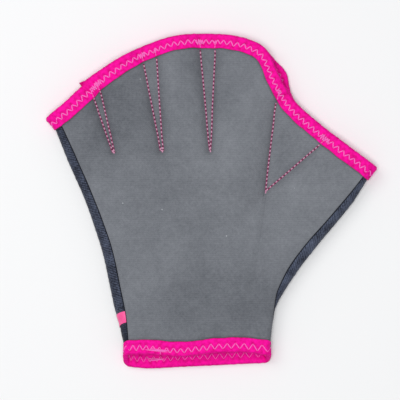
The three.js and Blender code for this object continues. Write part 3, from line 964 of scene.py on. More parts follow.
@dataclass
class Gusset:
    """Strip of stretch knit round one side of the mitt, with a dark seam along each edge.

    Attributes:
        thumb: Whether it is the thumb side's.
        shades: Painted shade on the knit at rises from the wrist, deepest where it lies tucked under
            the palm's edge.
        gap: Room between its edges and the panels'.
        tuck: Rise by which it stops short of the sleeve's ends.
        width: Its width on its own map.
        cells: Grid cells round the side.
        rows: Grid rows along it.
        least: Share of its thickness that is left at its edges.
        edge_cells: Cells over which it is pressed thin there.
        ripple: Height of its ripples in its middle.
        gather: How much higher they are at its seams.
        slack: Height of its slow waves.
        held: Rise from each end over which the tape holds it flat, and over what rise it lets go.
        seam_radius: Radius of the overlock seam's thread bundle.
        seam_lift: How far that bundle's middle stands off the sleeve's middle surface.
        bead: How much thinner it is between two stitches, as a share.
        bead_pitch: Distance from stitch to stitch.
    """

    thumb: bool
    shades: Rows
    gap: float = 0.12
    tuck: float = 0.004
    width: float = 15.0
    cells: int = 26
    rows: int = 300
    least: float = 0.35
    edge_cells: float = 1.5
    ripple: float = 0.05
    gather: float = 0.12
    slack: float = 0.08
    held: tuple[float, float] = (0.07, 0.05)
    seam_radius: float = 0.42
    seam_lift: float = 0.55
    bead: float = 0.18
    bead_pitch: float = 1.8

    @property
    def name(self) -> str:
        """Name of the CAD node that it replaces."""
        return "thumb_gusset" if self.thumb else "little_finger_gusset"

    def spans(self, rise: Array) -> tuple[Array, Array]:
        """Turns of its two edges at a rise, in the order of the turn."""
        palm, back, length = SLEEVE.seams(self.thumb, rise)
        gap = self.gap / length
        if self.thumb:
            return 1.0 + palm + gap, 2.0 - back - gap
        return 3.0 + back + gap, 4.0 - palm - gap

    def build(self) -> list[Piece]:
        """Make the strip and its two seams.

        The strip is the sleeve's surface moved out and in by half the cloth's thickness, and it
        ripples along its length, most at its seams, where the stitches gather it.

        Returns:
            The strip and the seams.
        """
        rise = np.linspace(self.tuck, 1.0 - self.tuck, self.rows)
        first, last = self.spans(rise)
        share = np.linspace(0.0, 1.0, self.cells + 1)
        turn = first[:, None] + (last - first)[:, None] * share
        rises = np.broadcast_to(rise[:, None], turn.shape)
        run = rise * SIDE_LENGTH
        seed = 41 if self.thumb else 31
        high = self.ripple + self.gather * (2 * share - 1) ** 2
        moved = waves(run, seed, (3.4, 4.7, 6.1))[:, None] * high
        moved += waves(run, seed + 1, (33.0, 57.0))[:, None] * self.slack * np.sin(np.pi * share)
        if not self.thumb:
            moved -= ribbon_pull(rises, share)
        held, over = self.held
        free = smooth((np.minimum(rises, 1.0 - rises) - held) / over)
        edge = np.minimum(share, 1.0 - share) * self.cells
        half = STRETCH / 2 * thinned(edge, self.edge_cells, self.least)[None, :, None]
        normal = SLEEVE.normal(turn, rises)
        middle = SLEEVE.point(turn, rises) + normal * (moved * free)[..., None]
        points, quads = shell(middle + normal * half, middle - normal * half)
        place = np.stack(np.broadcast_arrays(run[:, None], share[None] * self.width), axis=-1)
        # painted shade, deepest near the wrist where the strip lies tucked under the palm's edge
        shade = np.interp(rises, *np.array(self.shades).T).ravel()
        strip = shown(self.name, points, quads, (self.name,),
                      np.vstack((place.reshape(-1, 2),) * 2), np.tile(shade, 2))
        return [strip, *self.seams()]

    def seams(self) -> list[Piece]:
        """Make the overlock seam along each edge: a bundle of thread with a bead at each stitch."""
        rise = np.linspace(RISE_WRIST + self.tuck, RISE_FINGER - self.tuck, 900)
        pieces = []
        for side, turn in zip(("first", "last"), self.spans(rise)):
            path = SLEEVE.point(turn, rise)
            beads = np.abs(np.sin(np.pi * arc_lengths(path) / self.bead_pitch))
            size = self.seam_radius * (1.0 - self.bead + self.bead * beads)
            mesh = cord(path, SLEEVE.normal(turn, rise), size, self.seam_lift)
            pieces.append(sewn(f"{self.name}_seam_{side}", mesh))
        return pieces


# Painted shade: the little-finger side darker all along and deepest near the wrist; the thumb side
# only slightly near the wrist
LITTLE_GUSSET = Gusset(
    thumb=False,
    shades=((0.0, 0.5), (0.13, 0.5), (0.18, 0.2), (0.35, 0.12), (0.6, 0.1), (0.85, 0.16), (1.0, 0.2)),
)
THUMB_GUSSET = Gusset(thumb=True, shades=((0.0, 0.1), (0.25, 0.0), (1.0, 0.0)))


class Face(Enum):
    """Side of a folded tape."""

    OUTER = 1.0
    INNER = -1.0


# Points on each part of the folded tape's section, and places round its ring on a panel and a side
LIP_POINTS = 3
FLAT_POINTS = 15
BEND_POINTS = 13
PANEL_PLACES = 1400
SIDE_PLACES = 60

# Thread of the bar tacks: its radius, how far it stands over its ends, how far those lie over the
# tape, and how far they stray along and across the tack, as shares of a step and of the width
TACK_RADIUS = 0.29
TACK_ARCH = 0.3
TACK_LIFT = 0.12
TACK_STRAY = (0.9, 0.25)


@dataclass
class Binding:
    """Stretch tape folded over the edges round one opening, held by a zigzag.

    Attributes:
        finger: Whether it is the finger edge's; otherwise it is the wrist's.
        widths: Tape's width seen from above at places along the palm's edge, from the
            little-finger side, in millimetres.
        pitches: Zigzag's pitch at places along the palm's edge.
        stitch_heights: Zigzag's height from corner to corner, in the same way.
        centres: Where its middle lies on the palm, in the same way, as a share of the width
            from the fold.
        back_centre: The same share all along the back.
        thread: Radius of the zigzag's thread on the outer face.
        bobbin: Radius of its thread on the inner face.
        lift: How far the ends of its threads lie over the tape.
        arch: How far the middle of each of its threads stands over the ends.
        stray: How far its corners stray.
        nose: Where the flat of the tape passes into the fold's round.
        lip: Radius of the round along the tape's far edge.
        settle: How much lower its flat lies at the panel than at the fold.
        slack: Room between what the fold holds and the tape's inside.
        crease: How much the fold wanders out and in, as a share.
        wander: How far the tape's far edge wanders.
        ease: Where past a corner the fold starts to pass from a panel to a gusset, and over
            what distance.
        dent: How deep the zigzag pulls the tape in at its corners, and how wide.
        groove: The same for the shallow groove along its middle.
        dent_dark: Painted shade in the dents, for each millimetre of that.
        fold_dark: Painted shade round the fold, the depth where it starts and over what distance.
        edge_dark: Painted shadow along the far edge, and over what distance.
        stations: Grid rows round the opening.
    """

    finger: bool
    widths: Rows
    pitches: Rows
    stitch_heights: Rows
    centres: Rows
    back_centre: float
    thread: float = 0.37
    bobbin: float = 0.3
    lift: float = 0.02
    arch: float = 0.34
    stray: float = 0.12
    nose: float = 0.9
    lip: float = 0.35
    settle: float = 0.3
    slack: float = 0.06
    crease: float = 0.03
    wander: float = 0.16
    ease: tuple[float, float] = (0.6, 1.6)
    dent: tuple[float, float] = (0.5, 1.1)
    groove: tuple[float, float] = (0.22, 2.6)
    dent_dark: float = 0.9
    fold_dark: tuple[float, float, float] = (0.4, 0.1, 1.2)
    edge_dark: tuple[float, float] = (0.9, 0.7)
    stations: int = 900

    def __post_init__(self) -> None:
        """Lay out the ring of stations at the sheet's edge and at the bound strip's far side."""
        edge, inner = (1.0, RISE_FINGER) if self.finger else (0.0, RISE_WRIST)
        quarters = (PANEL_PLACES, SIDE_PLACES, PANEL_PLACES, SIDE_PLACES)
        around = np.concatenate([
            quarter + np.arange(places) / places for quarter, places in enumerate(quarters)
        ])
        self.turns = around
        rims = np.full_like(around, edge)
        strips = np.full_like(around, inner)
        rows = (
            SLEEVE.point(around, rims), SLEEVE.normal(around, rims),
            SLEEVE.point(around, strips), SLEEVE.normal(around, strips),
        )
        self.rows = tuple(np.vstack((row, row[:1])) for row in rows)
        self.run = arc_lengths((self.rows[0] + self.rows[2]) / 2)
        self.length = float(self.run[-1])
        self.corners = np.interp((0.0, 1.0, 2.0, 3.0), around, self.run[:-1])
        self.places = np.linspace(0.0, self.length, 6001)
        steps = np.diff(self.places) / self.along_palm(self.places[:-1], self.pitches)
        phases = np.concatenate(((0.0,), np.cumsum(steps)))
        self.phases = phases * round(phases[-1]) / phases[-1]

    @property
    def name(self) -> str:
        """Name of the CAD node that it replaces."""
        return "finger_binding" if self.finger else "wrist_binding"

    def hold(self, s: Array) -> Array:
        """Half of what the fold holds: a panel's sheet, easing to the gusset's at the sides."""
        s = np.mod(s, self.length)
        stops = (*self.corners[1:], self.length)
        start, over = self.ease
        sides = sum(
            smooth((s - low - start) / over) * smooth((high - start - s) / over)
            for low, high in (stops[:2], stops[2:])
        )
        panel, gusset = NEOPRENE / 2 + GAP, STRETCH / 2 + GAP
        return panel + (gusset - panel) * sides

    def along_palm(self, s: Array, rows: Rows) -> Array:
        """Value of a table along the palm's edge, the same on the back's, at a place round it."""
        s = np.mod(s, self.length)
        palm = self.corners[1]
        mirrored = self.corners[2] + palm - s
        along = np.where(s < self.corners[2], np.minimum(s, palm), np.maximum(mirrored, 0.0))
        table = np.array(rows)
        return np.interp(along, table[:, 0] * palm / table[-1, 0], table[:, 1])

    def width(self, s: Array) -> Array:
        """Tape's width at a place round the ring, with the small wander of a sewn edge."""
        wander = waves(np.mod(s, self.length), 5 if self.finger else 6, (11.0, 17.0, 29.0))
        return self.along_palm(s, self.widths) + self.wander * wander

    def place(self, s: Array, depth: Array, height: Array) -> Array:
        """Point of the folded tape's space.

        The point lies between the ring at the sheet's edge and the ring at the strip's far side,
        each moved along its normal by height. Beyond the edge it goes straight outwards.

        Args:
            s: Distance round the opening.
            depth: Distance from the sheet's edge, inwards.
            height: Distance from the sheet's middle surface, outwards.

        Returns:
            Points in millimetres.
        """
        s, depth, height = np.broadcast_arrays(np.mod(s, self.length), depth, height)
        edge, up, far, far_up = (sampled(s, self.run, row) for row in self.rows)
        near = edge + up * height[..., None]
        end = far + far_up * height[..., None]
        inwards = unit(far - edge)
        inside = near + (end - near) * (depth / BOUND_DEPTH)[..., None]
        return np.where((depth >= 0)[..., None], inside, near + inwards * depth[..., None])

    def stitch_middle(self, s: Array) -> Array:
        """Depth of the zigzag's middle, which passes from palm to back along the sides."""
        s = np.mod(s, self.length)
        palm, behind, little = self.corners[1:]
        on_back = smooth((s - palm) / (behind - palm))
        on_back = on_back * smooth((self.length - s) / (self.length - little))
        share = self.along_palm(s, self.centres) * (1.0 - on_back) + self.back_centre * on_back
        return share * self.width(s) - FOLD_DEPTH

    def stitch_depths(self, s: Array) -> tuple[Array, Array]:
        """Depths of the zigzag's corners nearer the fold and nearer the panel."""
        middle, high = self.stitch_middle(s), self.along_palm(s, self.stitch_heights)
        return middle - high / 2, middle + high / 2

    def pull(self, s: Array, depth: Array) -> Array:
        """How far the zigzag pulls the tape in: dents at its corners along a shallow groove."""
        near, far = self.stitch_depths(s)
        phase = 2.0 * np.pi * np.interp(np.mod(s, self.length), self.places, self.phases)
        deep, reach = self.dent
        dents = bell(depth - near, reach) * (0.5 + 0.5 * np.cos(phase)) ** 2
        dents = dents + bell(depth - far, reach) * (0.5 - 0.5 * np.cos(phase)) ** 2
        return deep * dents + self.groove[0] * bell(depth - (near + far) / 2, self.groove[1])

    def shelf(self, s: Array, depth: Array) -> Array:
        """Height of the tape's smooth flat over the sheet's middle surface at a depth."""
        return self.hold(s) + TAPE - self.settle * np.clip(depth / BOUND_DEPTH, 0.0, 1.0)

    def face(self, s: Array, depth: Array, face: Face, lift: float = 0.0) -> Array:
        """Points of the tape's outer or inner flat at a depth, lifted off it a little."""
        stand = self.shelf(s, depth) - self.pull(s, depth) + lift
        return self.place(s, depth, face.value * stand)

    def section(self, s: Array) -> tuple[Array, Array]:
        """Closed outline of the folded tape at each station.

        It runs along the outer flat from the tape's edge, round the fold as half an ellipse,
        back along the inner flat, round the other edge, and returns as the inside of the fold.

        Args:
            s: Distances round the opening, one a row.

        Returns:
            Depths and heights, a row for each station.
        """
        s = s[:, None]
        end = self.width(s) - FOLD_DEPTH
        hold = self.hold(s)
        flat = np.linspace(1.0, 0.0, FLAT_POINTS)[None, :]
        lip = np.linspace(0.0, np.pi / 2, LIP_POINTS + 1)[None, :-1]
        bend = np.linspace(np.pi / 2, -np.pi / 2, BEND_POINTS + 2)[None, 1:-1]
        shoulder = end - self.lip
        lip_depth = shoulder + self.lip * np.cos(lip)
        lip_height = self.shelf(s, end) - self.lip + self.lip * np.sin(lip)
        top_depth = self.nose + (shoulder - self.nose) * flat
        top_height = self.shelf(s, top_depth) - self.pull(s, top_depth)
        crease = 1.0 + self.crease * waves(s, 8, (5.1, 7.7, 3.9))
        nose_depth = self.nose - (self.nose + FOLD_DEPTH) * crease * np.cos(bend)
        nose_height = (hold + TAPE) * np.sin(bend)
        back_depth, back_height = top_depth[:, ::-1], -top_height[:, ::-1]
        room = np.linspace(0.0, 1.0, 5)[None, :]
        hollow = np.linspace(-np.pi / 2, np.pi / 2, 9)[None, 1:-1]
        in_depth = self.nose - (self.nose + FOLD_ROOM) * np.cos(hollow)
        in_height = (hold - self.slack) * np.sin(hollow)
        under = end + (self.nose - end) * room
        level = np.broadcast_to(hold - self.slack, under.shape)
        depths = (
            lip_depth, top_depth, nose_depth, back_depth, lip_depth[:, ::-1], under, in_depth,
            under[:, ::-1],
        )
        heights = (
            lip_height, top_height, nose_height, back_height, -lip_height[:, ::-1], -level,
            in_height, level,
        )
        return tuple(
            np.concatenate([np.broadcast_to(part, (len(s), part.shape[1])) for part in row], axis=1)
            for row in (depths, heights)
        )

    def build(self) -> Piece:
        """Make the tape: its closed section carried round the opening."""
        s = np.linspace(0.0, self.length, self.stations, endpoint=False)
        depth, height = self.section(s)
        points = self.place(np.broadcast_to(s[:, None], depth.shape), depth, height)
        quads = grid_quads(*depth.shape, columns_close=True, rows_close=True)
        walk = np.concatenate((
            np.zeros((len(s), 1)), np.cumsum(np.hypot(np.diff(depth), np.diff(height)), axis=1)
        ), axis=1)
        uv = np.stack((np.broadcast_to(s[:, None], depth.shape), walk), axis=-1)
        # painted shade in the dents and round the fold, and painted shadow along the far edge
        shade = self.painted_tape_shade(s[:, None], depth)
        return shown(self.name, points, quads, (self.name,), uv, shade)

    def painted_tape_shade(self, s: Array, depth: Array) -> Array:
        """Painted shade on the tape in the zigzag's dents and round the fold, and a painted shadow
        line along its far edge.
        """
        end = self.width(s) - FOLD_DEPTH
        dark, start, over = self.fold_dark
        rims = dark * smooth((start - depth) / over)
        dark, over = self.edge_dark
        rims = rims + dark * smooth((depth - end + over) / over)
        return np.clip(self.pull(s, depth) * self.dent_dark + rims, 0.0, 1.0)

    def sew(self, s: Array, depth: Array, face: Face, lift: float, radius: float,
            arch: float) -> Mesh:
        """Thread sewn over the tape, one arched length from each place to the next.

        Args:
            s: Places round the opening.
            depth: Their depths.
            face: Side of the tape.
            lift: How far its ends lie over the tape.
            radius: Thread's radius.
            arch: How far the middle of a length stands over its ends.

        Returns:
            Vertices, quads and surface coordinates.
        """
        corner = self.face(s, depth, face, lift)
        up = unit(corner - self.face(s, depth, face, -1.0))
        return stitches(corner[:-1], corner[1:], unit(up[:-1] + up[1:]), radius, arch)

    def zigzag(self, face: Face) -> Piece:
        """Make the zigzag: one arched thread from corner to corner, all the way round.

        Args:
            face: Side of the tape that it lies on.

        Returns:
            The zigzag's object.
        """
        count = int(round(self.phases[-1])) * 2
        s = np.interp(np.arange(count + 1) / 2.0, self.phases, self.places)
        s[-1] = self.length - 1e-6
        near, far = self.stitch_depths(s)
        wander = self.stray * np.random.default_rng(9).standard_normal(count + 1)
        depth = np.where(np.arange(count + 1) % 2 == 0, near, far) + wander
        outer = face is Face.OUTER
        radius = self.thread if outer else self.bobbin
        mesh = self.sew(s, depth, face, self.lift, radius, self.arch)
        return sewn(f"{self.name}_zigzag_{'outer' if outer else 'inner'}", mesh)

    def tack(self, s: float, depth: float, angle: float, length: float, wide: float,
             legs: int, face: Face = Face.OUTER) -> Mesh:
        """Bar tack: a short dense zigzag sewn over the tape.

        Args:
            s: Place of its middle round the opening.
            depth: Depth of its middle.
            angle: Direction that it runs in, from along the edge at 0 to inwards at 90 degrees.
            length: Its length.
            wide: Its width.
            legs: Number of threads.
            face: Side of the tape.

        Returns:
            Vertices, quads and surface coordinates.
        """
        draws = np.random.default_rng(int(10 * abs(s))).uniform(-0.5, 0.5, (2, legs + 1))
        stray_along, stray_across = TACK_STRAY
        t = (np.arange(legs + 1) / legs - 0.5) * length + draws[0] * stray_along * length / legs
        w = (np.where(np.arange(legs + 1) % 2 == 0, -0.5, 0.5) + draws[1] * stray_across) * wide
        c, d = math.cos(math.radians(angle)), math.sin(math.radians(angle))
        along, deep = s + t * c - w * d, depth + t * d + w * c
        return self.sew(along, deep, face, TACK_LIFT, TACK_RADIUS, TACK_ARCH)


FINGER = Binding(
    finger=True,
    widths=(
        (0, 10.2), (12, 10.4), (22, 10.3), (48, 10.2), (60, 9.5), (72, 9.1), (94, 8.9),
        (124, 9.1), (144, 8.9), (157, 8.3), (170, 8.6), (180, 9.3), (203, 9.1), (222, 9.6),
        (249, 9.8),
    ),
    pitches=((0, 4.03), (249, 4.03)),
    stitch_heights=((0, 3.3), (60, 3.1), (150, 2.9), (249, 3.3)),
    centres=((0, 0.57), (249, 0.57)),
    back_centre=0.57,
)
WRIST = Binding(
    finger=False,
    widths=((0, 9.3), (84, 9.5)),
    pitches=((0, 4.0), (25, 4.3), (84, 5.7)),
    stitch_heights=((0, 3.7), (14, 3.5), (30, 3.0), (45, 3.5), (84, 4.1)),
    centres=((0, 0.5), (10, 0.45), (20, 0.39), (30, 0.39), (40, 0.44), (84, 0.44)),
    back_centre=0.62,
    thread=0.32,
    bobbin=0.18,
    stations=420,
)


@dataclass
class TapeLap:
    """Cut end of a tape lapped over its start, which shows as a low step across the band.

    Attributes:
        binding: Tape that it belongs to.
        start: Where the cut end lies round the opening.
        stop: Where the lap has sunk under the tape again.
        flat: How far it stands over the tape's flats at the cut end.
        proud: How far it stands out beyond the fold there, without the nub.
        nub: How much further the fold stands out right at the cut end.
        nub_length: Distance over which that sinks into the slope.
        sunk: How far it lies under the tape where it stops.
        inside: How far its hidden inner face lies under the tape.
        end_dark: Painted shade at the cut end, and over what share of the lap.
        cell: Distance across the tape from point to point on its map.
        rows: Grid rows along it.
    """

    binding: Binding
    start: float
    stop: float
    flat: float = 0.3
    proud: float = 1.4
    nub: float = 1.1
    nub_length: float = 4.2
    sunk: float = 0.12
    inside: float = 0.25
    end_dark: tuple[float, float] = (0.5, 0.12)
    cell: float = 0.6
    rows: int = 80

    def build(self) -> Piece:
        """Make the lap: the tape's own section moved outwards by a stand-off that falls to nothing.

        The stand-off is greatest round the fold, by the square of the cosine of the bend.

        Returns:
            The lap's object.
        """
        s = np.linspace(self.start, self.stop, self.rows)
        depth, height = self.binding.section(s)
        first, last = LIP_POINTS + 1, LIP_POINTS + 2 * FLAT_POINTS + BEND_POINTS - 1
        depth, height = depth[:, first:last], height[:, first:last]
        slope = np.stack((np.gradient(depth, axis=1), np.gradient(height, axis=1)), axis=-1)
        out = unit(np.stack((slope[..., 1], -slope[..., 0]), axis=-1))
        away = (out * np.stack((-np.ones_like(depth), height), axis=-1)).sum(-1)[..., None]
        out = np.where(away < 0, -out, out)
        part = ((s - self.start) / (self.stop - self.start))[:, None]
        fold = np.clip(-out[..., 0], 0.0, 1.0) ** 2
        stand = (self.flat + (self.proud - self.flat) * fold) * (1.0 - part) - self.sunk * part
        corner = np.clip(1.0 - (s - self.start) / self.nub_length, 0.0, 1.0)[:, None]
        stand = stand + self.nub * fold * corner
        around = np.broadcast_to(s[:, None], depth.shape)
        points, quads = shell(*(
            self.binding.place(around, depth + out[..., 0] * off, height + out[..., 1] * off)
            for off in (stand, -self.inside)
        ))
        walk = np.cumsum(np.ones_like(depth), axis=1) * self.cell
        uv = np.stack((around, walk), axis=-1).reshape(-1, 2)
        dark, over = self.end_dark
        # painted shade of the tape, and more painted shade at the cut end's step
        shade = self.binding.painted_tape_shade(s[:, None], depth) + dark * bell(part, over)
        shade = np.tile(np.clip(shade, 0.0, 1.0).ravel(), 2)
        name = f"{self.binding.name}_lap"
        return shown(name, points, quads, (), np.vstack((uv, uv)), shade)


@dataclass
class SideTab:
    """Short satin ribbon across the little-finger gusset, caught in the palm's side seam.

    Attributes:
        low: Rise of its lower selvedge.
        high: Rise of its upper selvedge.
        reach: Share of the way round the side that it reaches to.
        thick: Ribbon's thickness.
        tuck: How far its end lies from the palm panel's edge.
        clear: Room between it and the gusset.
        bulge: How much further it stands off between its ends.
        least: Share of its thickness that is left at its selvedges.
        edge: Distance over which they are pressed thin.
        size: Its width and its visible length on its own map.
    """

    low: float = 0.152
    high: float = 0.206
    reach: float = 0.52
    thick: float = 0.5
    tuck: float = 0.3
    clear: float = 0.1
    bulge: float = 0.15
    least: float = 0.5
    edge: float = 0.6
    size: tuple[float, float] = (10.0, 8.0)

    def build(self) -> Piece:
        """Make the ribbon: a strip over the gusset that tucks under the palm's edge.

        Its stand-off bulges a little between its ends, and its selvedges are pressed thin.

        Returns:
            The ribbon's object.
        """
        across = np.linspace(0.0, 1.0, 31)[:, None]
        along = np.linspace(0.0, 1.0, 33)[None, :]
        rise = self.low + (self.high - self.low) * np.broadcast_to(across, (31, 33))
        palm, back, length = SLEEVE.seams(False, rise)
        start = palm + self.tuck / length
        share = start + (self.reach - start) * along
        turn = 4.0 - share
        middle = SLEEVE.point(turn, rise)
        normal = SLEEVE.normal(turn, rise)
        edge = np.minimum(across, 1.0 - across) * (self.high - self.low) * SIDE_LENGTH
        stand = STRETCH / 2 + self.clear + self.thick / 2 + self.bulge * np.sin(np.pi * along)
        stand = stand - ribbon_pull(rise, (share - palm) / (1.0 - palm - back))
        half = self.thick / 2 * thinned(edge, self.edge, self.least)
        points, quads = shell(*(
            middle + normal * off[..., None] for off in (stand + half, stand - half)
        ))
        place = np.broadcast_arrays(across * self.size[0], along * self.size[1])
        uv = np.stack(place, axis=-1).reshape(-1, 2)
        return shown("side_tab", points, quads, ("side_tab",), np.vstack((uv, uv)))


# Bar tack of each seam on the tape: its length, its width and its number of threads
TACKS = (
    (11.0, 3.6, 13), (2.4, 2.4, 3), (4.6, 3.4, 6), (2.2, 2.4, 3),
    (5.0, 3.4, 7), (2.4, 2.4, 3), (3.4, 2.8, 5), (7.0, 3.8, 9),
)


@dataclass
class SeamThreads:
    """Threads of the eight web seams on one panel: pale stitches over a dark crimson cord that stands
    for the painted shadow in the seam's groove.

    Attributes:
        panel: Panel that they are sewn on.
        share: Share of the pitch that a stitch covers.
        pale_radius: Radius of a pale stitch.
        groove_shadow_radius: Radius of the dark cord below, which is painted shadow of the groove.
        lift: How far a pale stitch's ends lie over the cloth.
        arch: How far its middle stands over them.
        first: Middle of the first stitch of a V's left seam and of its right one, in pitches.
        ply: How much thinner the dark cord of painted shadow is between two stitches, as a share.
        ring: Distance between the dark thread's rings.
        over: Where the pink stitches over the tape start, inside its edge.
        over_lift: How far their ends lie over the tape.
        knot_lift: How far the locking stitches at the tips lie over the cloth.
        tail: Length of the thread's tail, as a share of six steps along the seam.
    """

    panel: Panel
    share: float = 0.62
    pale_radius: float = 0.47
    groove_shadow_radius: float = 0.68
    lift: float = 0.26
    arch: float = 0.2
    first: tuple[float, float] = (0.35, 0.65)
    ply: float = 0.15
    ring: float = 0.4
    over: float = 0.4
    over_lift: float = 0.1
    knot_lift: float = 0.3
    tail: float = 0.35

    def path(self, line: int) -> tuple[Array, Array]:
        """Seam's path on the panel's face, from the V's tip up to just under the tape."""
        column, rise = WEB_SEAMS.course(line)
        turn = column / SLEEVE.columns
        return self.panel.face(3.0 - turn if self.panel.back else turn, rise)

    def crossing(self, line: int, depth: Array) -> Array:
        """Places round the tape where a seam's straight line crosses it at given depths."""
        way = unit(SLEEVE.mouths[line + 1] - WEB_SEAMS.lines()[line][1])
        along = SLEEVE.fingers.along(np.array([SLEEVE.arcs[line + 1]]))[0]
        lean = (way @ along) / (way @ np.array((-along[1], along[0])))
        turn = SLEEVE.starts[line + 1] / SLEEVE.columns
        turn, sense = (3.0 - turn, -1.0) if self.panel.back else (turn, 1.0)
        mouth = np.interp(turn, FINGER.turns, FINGER.run[:-1])
        return mouth + sense * (BOUND_DEPTH - depth) * lean

    def over_tape(self) -> list[Mesh]:
        """Pink stitches that carry each seam over the tape, and the bar tacks that end them."""
        parts = []
        for line, (length, wide, legs) in enumerate(TACKS):
            edge = FINGER.width(self.crossing(line, np.array([BOUND_DEPTH])))[0] - FOLD_DEPTH
            middle = FINGER.back_centre * (edge + FOLD_DEPTH) - FOLD_DEPTH
            depth = np.array((edge - self.over, (edge + middle) / 2 + self.over, middle))
            s = self.crossing(line, depth)
            parts.append(FINGER.sew(s, depth, Face.OUTER, self.over_lift, TACK_RADIUS, TACK_ARCH))
            shift = (-length if self.panel.back else length) / 2 if line == 0 else 0.0
            parts.append(FINGER.tack(float(s[-1]) + shift, middle, 0.0, length, wide, legs))
        return parts

    def knots(self) -> list[Mesh]:
        """Locking stitches across each web's tip and the thread's short tail below it."""
        parts = []
        for web in range(len(WEBS)):
            left, right = (self.path(2 * web + k) for k in (0, 1))
            first = np.stack((left[0][0], left[0][2], (left[0][0] + right[0][0]) / 2))
            tail = (left[0][0] + right[0][0]) / 2 - (left[0][6] - left[0][0]) * self.tail
            last = np.stack((right[0][0], right[0][3], tail))
            up = np.broadcast_to(left[1][0], first.shape)
            off = up * self.knot_lift
            parts.append(stitches(first + off, last + off, up, self.pale_radius, self.arch / 2))
        return parts

    def build(self) -> list[Piece]:
        """Make the dark cords of painted groove shadow, the pale stitches and the pink ones over the
        tape.

        Returns:
            Objects of the shadow cords and of the two threads, in that order.
        """
        dark, pale = [], []
        for line in range(8):
            points, normals = self.path(line)
            run = arc_lengths(points)
            even = np.arange(0.0, run[-1], self.ring)
            path, up = sampled(even, run, points), unit(sampled(even, run, normals))
            twist = np.cos(2 * np.pi * even / WEB_SEAMS.pitch)
            # dark cord: painted shadow in the seam's groove
            dark.append(cord(path, up, self.groove_shadow_radius * (1.0 - self.ply + self.ply * twist)))
            first = self.first[line % 2]
            begin, end, out = spaced(path, up, WEB_SEAMS.pitch, self.share, first)
            off = out * self.lift
            pale.append(stitches(begin + off, end + off, out, self.pale_radius, self.arch))
        tag = "back" if self.panel.back else "palm"
        # the dark kind is the cord of painted groove shadow
        kinds = (("dark", dark), ("pale", pale + self.knots()), ("tacks", self.over_tape()))
        return [sewn(f"web_seams_{tag}_{kind}", joined(parts)) for kind, parts in kinds]


@dataclass
class WristJoin:
    """Locking stitches where the wrist tape's ends are sewn over each other.

    Attributes:
        place: Middle of the rows round the wrist, on the palm.
        palm_rows: Rows on the palm's outer tape: how far round from that place, how far in from
            the zigzag's middle, how wide they spread, their length and the number of threads.
        palm_bar: The same for the bar over them.
        back_rows: The same for the rows on the back's inner tape.
    """

    place: float = 17.0
    palm_rows: tuple[float, float, float, float, int] = (0.0, -0.7, 1.2, 12.5, 3)
    palm_bar: tuple[float, float, float, float, int] = (2.0, -1.2, 3.4, 0.5, 6)
    back_rows: tuple[float, float, float, float, int] = (0.0, -0.4, 1.2, 12.5, 2)

    def build(self) -> Piece:
        """Make rows on the palm's outer tape and the back's inner tape, and a bar over them."""
        behind = WRIST.corners[2] + WRIST.corners[1] - self.place
        middle, inside = WRIST.stitch_middle(np.array([self.place, behind]))
        parts = [
            WRIST.tack(s + shift, depth + off, 90.0, length, wide, legs, face)
            for s, depth, face, (shift, off, length, wide, legs) in (
                (self.place, middle, Face.OUTER, self.palm_rows),
                (self.place, middle, Face.OUTER, self.palm_bar),
                (behind, inside, Face.INNER, self.back_rows),
            )
        ]
        return sewn("wrist_binding_join", joined(parts))


def linear(colour: str) -> tuple[float, float, float, float]:
    """Linear colour of an sRGB hex value: each channel by the sRGB curve."""
    parts = np.array([int(colour[k:k + 2], 16) for k in (1, 3, 5)]) / 255.0
    curve = np.where(parts <= 0.04045, parts / 12.92, ((parts + 0.055) / 1.055) ** 2.4)
    return (*curve.tolist(), 1.0)


def add(tree: Tree, kind: str, links: dict | None = None, out: int | str = 0,
        **settings: object) -> Socket | None:
    """Add a node, with its settings and with its inputs linked or set.

    Args:
        tree: Node tree.
        kind: Node's type name.
        links: Sockets to link and values to set, by the input's name or number.
        out: Name or number of the output that is wanted.
        settings: Properties of the node.

    Returns:
        That output, or None for a node that has none.
    """
    made = tree.nodes.new(kind)
    for key, value in settings.items():
        setattr(made, key, value)
    for key, value in (links or {}).items():
        if isinstance(value, Socket):
            tree.links.new(value, made.inputs[key])
        else:
            made.inputs[key].default_value = value
    return made.outputs[out] if made.outputs else None


@dataclass(frozen=True)
class Layer:
    """Noise in a finish.

    Attributes:
        size: Size of its patches in millimetres.
        tone: Weight in the tone.
        relief: Weight in the relief.
        detail: Number of finer noises on top of it.
        roughness: How strong those are.
    """

    size: float
    tone: float
    relief: float = 0.0
    detail: float = 2.0
    roughness: float = 0.5


